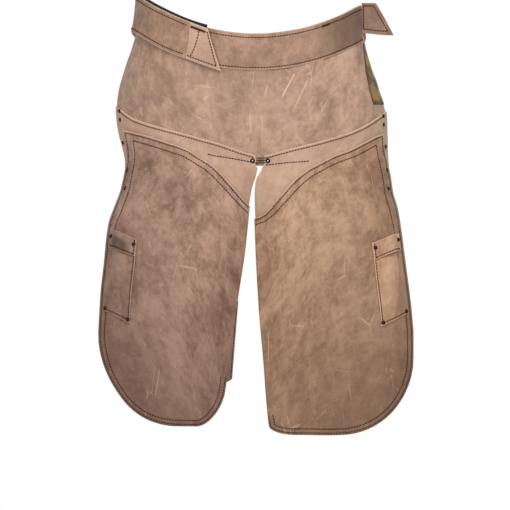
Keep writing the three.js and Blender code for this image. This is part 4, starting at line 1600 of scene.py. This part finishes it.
class APRON_OT_stitching(bpy.types.Operator):
    """All the rows of stitches"""

    bl_idname = "apron.stitching"
    bl_label = "Stitching"

    def execute(self, context):
        self.sizes = sizes_of(context)
        self.look = finishes_of(context)["thread"]
        self.sew_waist()
        self.sew_belt()
        self.sew_tabs()
        for side in SIDES:
            self.sew_yoke(side)
            self.sew_patch(side)
            self.sew_pocket(side)
            self.sew_strap(side)
        return {"FINISHED"}

    def finish_thread(self, thread, name, body):
        made = thread.made(name, self.look)
        if body:
            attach(made, body)
        return made

    def sew_waist(self):
        thread = Thread(self.sizes)
        angle = np.linspace(BAND_RIGHT_END + 1, BAND_LEFT_END - 1, 400)
        for height in (BAND_HEIGHT / 2 - TOP_SEAM, BAND_LOWER_SEAM - BAND_HEIGHT / 2):

            def place(layer, height=height):
                return on_waist(angle, band_middle(angle) + height, layer)

            thread.row(place, LAYER + LEATHER, -LAYER)
        for shift in (-BAR_HALF_GAP, BAR_HALF_GAP):
            bar = np.linspace(*WAIST_BAR, 30)

            def thick(layer, shift=shift, bar=bar):
                z = band_middle(bar) + BAND_HEIGHT / 2 - TOP_SEAM + shift
                return on_waist(bar, z, layer)

            thread.row(thick, LAYER + LEATHER + 0.3, pitch=BAR_PITCH)
        for height in CROTCH_ROWS:

            def across(layer, height=height):
                return on_front(LEFT, np.linspace(1.5, 17, 12), height, layer)

            thread.row(across, LAYER + LEATHER + 0.5, pitch=15.0)
        self.finish_thread(thread, "waistband_thread", "hips")

    def sew_belt(self):
        thread = Thread(self.sizes)
        first, last = TAB_ROOT - 1.5, BELT_LEFT_END - 360 + 1.5
        angle = np.linspace(first, last, 900)
        wrapped = np.where(angle < BELT_HINGE, angle + 360, angle)
        lift = np.where(angle < BELT_HINGE, belt_layer(wrapped), BELT_LAYER)
        middle = np.where(angle < BELT_HINGE, belt_middle(wrapped), band_middle(angle))
        for height in (BELT_HEIGHT / 2 - TOP_SEAM, BELT_LOWER_SEAM - BELT_HEIGHT / 2):

            def place(layer, height=height):
                return on_waist(angle, middle + height, lift + layer)

            thread.row(place, LEATHER, 0.0)
        made = self.finish_thread(thread, "belt_thread", None)
        belt_blend(made)

    def sew_tabs(self):
        thread = Thread(self.sizes)
        place_tab = right_tab_place(0)
        rows = (
            [(0.03, 0.11), (0.93, 0.11), (0.91, 0.91), (0.03, 0.91)],
            [(0.5, 0.13), (0.14, 0.9)],
        )
        for corners in rows:
            line = resampled(np.array(corners), 0.01)

            def place(layer, line=line):
                return place_tab(line[:, 0], line[:, 1], np.full(len(line), layer))

            thread.row(place, BELT_LAYER + LEATHER, BELT_LAYER)
        for v in (0.095, 0.13):

            def bar(layer, v=v):
                return place_tab(np.linspace(0.05, 0.8, 30), np.full(30, v), np.full(30, layer))

            thread.row(bar, BELT_LAYER + LEATHER + 0.3, pitch=BAR_PITCH)
        self.finish_thread(thread, "right_tab_thread", "right_tab")

        thread = Thread(self.sizes)
        place_left = left_tab_place(0, LEFT_TAB_START)
        corners = [(0.04, 0.87), (0.08, 0.1), (0.74, 0.1), (0.86, 0.87), (0.04, 0.87)]
        left_line = resampled(np.array(corners), 0.01)

        def place_on_left(layer):
            return place_left(left_line[:, 0], left_line[:, 1], np.full(len(left_line), layer))

        thread.row(place_on_left, PAD + GAP + LEATHER, PAD + GAP)
        self.finish_thread(thread, "left_tab_thread", "left_tab")

    def sew_yoke(self, side):
        thread = Thread(self.sizes)
        out = np.linspace(side.yoke_start + 3, side.outer(-90) - 3, 300)
        lower = np.linspace(*side.lower_seam, 120)

        def top(layer):
            return on_front(side, out, side.yoke(out) - YOKE_SEAM, layer)

        def bottom(layer):
            z = side.head(lower) + 1.5
            return on_front(side, lower, z, layer)

        thread.row(top, LAYER + LEATHER, 0.0)
        thread.row(bottom, LAYER + LEATHER, None)
        self.finish_thread(thread, f"{side.name}_yoke_thread", "hips")

    def sew_patch(self, side):
        thread = Thread(self.sizes)
        outline = patch_outline(side)
        sizes = self.sizes
        rows = ((sizes.first_row / MM, 0.0), (sizes.second_row / MM, PATCH_ROW_WIDENING))
        for near, widening in rows:
            line = inset(side, outline, near, widening)

            def place(layer, line=line):
                return on_front(side, line[:, 0], line[:, 1], layer)

            thread.row(place, PATCH_LAYER + LEATHER, BASE_LAYER)
        made = self.finish_thread(thread, f"{side.name}_patch_thread", None)
        leg_blend(made, side)

    def sew_pocket(self, side):
        thread = Thread(self.sizes)
        corners = [(0.05, 0.02), (0.05, 0.965), (0.93, 0.965)]
        line = resampled(np.array(corners) * (POCKET_WIDTH, POCKET_HEIGHT), 1.0)
        line = line / (POCKET_WIDTH, POCKET_HEIGHT)

        def place(layer):
            out, z = pocket_spot(side, line[:, 0], line[:, 1])
            lift = layer + pocket_belly(line[:, 0], line[:, 1])
            return on_front(side, out, z, lift)

        thread.row(place, POCKET_LAYER + LEATHER, None)
        across = np.linspace(0.05, 0.95, 40)
        share = POCKET_BAND / POCKET_HEIGHT
        rows = (
            (across, np.full(40, share * 0.88)),
            (np.full(40, 0.05), np.linspace(0.01, share * 0.95, 40)),
        )
        for us, vs in rows:

            def band(layer, us=us, vs=vs):
                out, z = pocket_spot(side, us, vs)
                proud = pocket_belly(us, 0) + POCKET_BAND_PROUD * pocket_arch(us)
                return on_front(side, out, z, layer + proud)

            thread.row(band, POCKET_BAND_LAYER + LEATHER, None)
        self.finish_thread(thread, f"{side.name}_pocket_thread", f"{side.name}_leg")

    def sew_strap(self, side):
        thread = Thread(self.sizes)
        place_strap = strap_place(side)
        u = np.linspace(0.01, 0.99, 500)
        for v in (0.09, 0.91):

            def place(layer, v=v):
                return place_strap(u, np.full(500, v), np.full(500, layer))

            thread.row(place, LEATHER, 0.0)
        self.finish_thread(thread, f"{side.name}_strap_thread", f"{side.name}_leg")
        thread = Thread(self.sizes)
        top = STRAP_INNER_HEIGHT - STRAP_WIDTH / 2 - TAIL_GAP
        z = np.linspace(top - 3, top - TAIL_LENGTH + 14, 120)
        for shift in (3.0, TAIL_WIDTH - 3):

            def tail(layer, shift=shift):
                out = side.tail_top + TAIL_SLANT * (top - z) + shift
                return on_front(side, out, z, layer)

            thread.row(tail, CLOSURE_LAYER + LEATHER, CLOSURE_LAYER)
        self.finish_thread(thread, f"{side.name}_tail_thread", f"{side.name}_strap_tail")


class APRON_OT_rivets(bpy.types.Operator):
    """Rivets at the crotch, down the outer edges and on the pockets"""

    bl_idname = "apron.rivets"
    bl_label = "Rivets"

    def execute(self, context):
        look = finishes_of(context)["rivet"]
        radius = sizes_of(context).rivet / MM
        for side in SIDES:

            def spot(out, z, side=side):
                return lambda layer: on_front(side, out, z, layer)

            def edge(z, side=side, spot=spot):
                return spot(side.outer(z) - EDGE_RIVET, z)

            def crotch(layer, side=side):
                return on_hips(side.crotch_rivet, CROTCH_HEIGHT, layer)

            name = side.name
            top = LAYER + LEATHER
            hips = [(crotch, CROTCH_LAYER, top, radius * 1.1, "ringed")]
            hips += [(edge(z + side.yoke_shift), 0.0, top, radius, "domed") for z in (-88, -101)]
            rivet_group(
                f"{name}_hip_rivets", "hips",
                [f"{name}_crotch_rivet", f"{name}_yoke_rivet_1", f"{name}_yoke_rivet_2"],
                hips, look,
            )
            cap = PATCH_LAYER + LEATHER
            third = side.head(side.outer(-100)) - YOKE_LAP - EDGE_RIVET
            leg = [(edge(third), BASE_LAYER, cap, radius, "domed")]
            for sense in (1, -1):
                z = STRAP_OUTER_HEIGHT + sense * STRAP_WIDTH * 0.36
                leg.append((edge(z), STRAP_LAYER, cap, radius, "domed"))
            share = POCKET_BAND / POCKET_HEIGHT
            corners = (
                (0.07, share / 3, POCKET_BAND_LAYER),
                (0.93, share / 3, POCKET_BAND_LAYER),
                (0.07, 0.96, POCKET_LAYER),
                (0.93, 0.96, POCKET_LAYER),
            )
            for u, v, layer in corners:
                out, z = pocket_spot(side, u, v)
                leg.append((spot(out, z), BASE_LAYER, layer + LEATHER, radius, "domed"))
            nodes = [f"{name}_yoke_rivet_3"]
            nodes += [f"{name}_strap_rivet_{i}" for i in (1, 2)]
            nodes += [f"{name}_pocket_rivet_{i}" for i in (1, 2, 3, 4)]
            rivet_group(f"{name}_leg_rivets", f"{name}_leg", nodes, leg, look)
        return {"FINISHED"}


class APRON_OT_stage(bpy.types.Operator):
    """Pale floor, soft studio light and the camera"""

    bl_idname = "apron.stage"
    bl_label = "Stage"

    def execute(self, context):
        floor_finish = Finish("studio_floor")
        place = floor_finish.node("ShaderNodeTexCoord", output="Object")
        mottle = floor_finish.noise(place, 3.0, 2.0)
        tone = floor_finish.mix(mottle, (0.82, 0.82, 0.81, 1), (0.86, 0.86, 0.85, 1))
        look = floor_finish.surface(Base_Color=tone, Roughness=0.8)
        turns, n = np.linspace(0, 2 * np.pi, FLOOR_SIDES, endpoint=False), FLOOR_SIDES
        rim = [
            (FLOOR_RADIUS * math.cos(a), FLOOR_RADIUS * math.sin(a), FLOOR_HEIGHT) for a in turns
        ]
        under = [(x, y, z - FLOOR_THICKNESS) for x, y, z in rim]
        faces = [tuple(range(n)), tuple(range(2 * n - 1, n - 1, -1))]
        faces += [(k, n + k, n + (k + 1) % n, (k + 1) % n) for k in range(n)]
        floor = make_object("floor", rim + under, faces, look)
        floor.data.polygons.foreach_set("use_smooth", np.zeros(len(faces), bool))
        self.light("key_light", (0.4, -1.5, 0.75), 1.3, 18.0)
        self.light("fill_light", (-1.2, -1.5, 0.4), 1.2, 10.0)
        self.light("back_light", (0.3, 2.0, 0.9), 1.5, 14.0)
        self.sky(context.scene)
        camera = bpy.data.objects.new("camera", bpy.data.cameras.new("camera"))
        context.scene.collection.objects.link(camera)
        distance, near, width, height = 24.0, 0.125, 0.765, -0.305
        camera.location = (0, -distance, height)
        camera.rotation_euler = (math.radians(90), 0, 0)
        camera.data.lens = camera.data.sensor_width * (distance - near) / width
        camera.data.clip_end = 60
        context.scene.camera = camera
        context.scene.view_settings.view_transform = "Standard"
        return {"FINISHED"}

    def light(self, name, place, size, power):
        made = bpy.data.objects.new(name, bpy.data.lights.new(name, "AREA"))
        made.data.shape = "DISK"
        made.data.size = size
        made.data.energy = power
        made.location = place
        aim = Vector((0, 0, -0.2)) - Vector(place)
        made.rotation_euler = aim.to_track_quat("-Z", "Y").to_euler()
        bpy.context.scene.collection.objects.link(made)

    def sky(self, scene):
        """White to look at, and a softer light from all round."""
        world = bpy.data.worlds.new("studio")
        world.use_nodes = True
        scene.world = world
        nodes, links = world.node_tree.nodes, world.node_tree.links
        nodes.clear()
        seen, light = nodes.new("ShaderNodeBackground"), nodes.new("ShaderNodeBackground")
        seen.inputs["Color"].default_value = (1, 1, 1, 1)
        light.inputs["Color"].default_value = (1, 1, 1, 1)
        light.inputs["Strength"].default_value = 0.5
        path, mix = nodes.new("ShaderNodeLightPath"), nodes.new("ShaderNodeMixShader")
        out = nodes.new("ShaderNodeOutputWorld")
        links.new(path.outputs["Is Camera Ray"], mix.inputs[0])
        links.new(light.outputs[0], mix.inputs[1])
        links.new(seen.outputs[0], mix.inputs[2])
        links.new(mix.outputs[0], out.inputs["Surface"])


OPERATORS = (
    APRON_OT_hips,
    APRON_OT_waistband,
    APRON_OT_belt,
    APRON_OT_left_tab,
    APRON_OT_legs,
    APRON_OT_pockets,
    APRON_OT_straps,
    APRON_OT_stitching,
    APRON_OT_rivets,
    APRON_OT_stage,
)


class APRON_PT_pieces(bpy.types.Panel):
    """Lists the apron's pieces, sizes and colours"""

    bl_idname = "APRON_PT_pieces"
    bl_label = "Work Apron"
    bl_space_type = "VIEW_3D"
    bl_region_type = "UI"
    bl_category = "Apron"

    def draw(self, context):
        layout = self.layout
        for operator in OPERATORS:
            layout.operator(operator.bl_idname)
        for group in (context.scene.apron_sizes, context.scene.apron_colours):
            for name in group.__annotations__:
                layout.prop(group, name)


CLASSES = (ApronSizes, ApronColours, *OPERATORS, APRON_PT_pieces)


def register():
    for kind in CLASSES:
        bpy.utils.register_class(kind)
    bpy.types.Scene.apron_sizes = PointerProperty(type=ApronSizes)
    bpy.types.Scene.apron_colours = PointerProperty(type=ApronColours)


def unregister():
    del bpy.types.Scene.apron_colours
    del bpy.types.Scene.apron_sizes
    for kind in reversed(CLASSES):
        bpy.utils.unregister_class(kind)


def main():
    register()
    for operator in OPERATORS:
        group, name = operator.bl_idname.split(".")
        getattr(getattr(bpy.ops, group), name)()


if __name__ == "__main__":
    main()
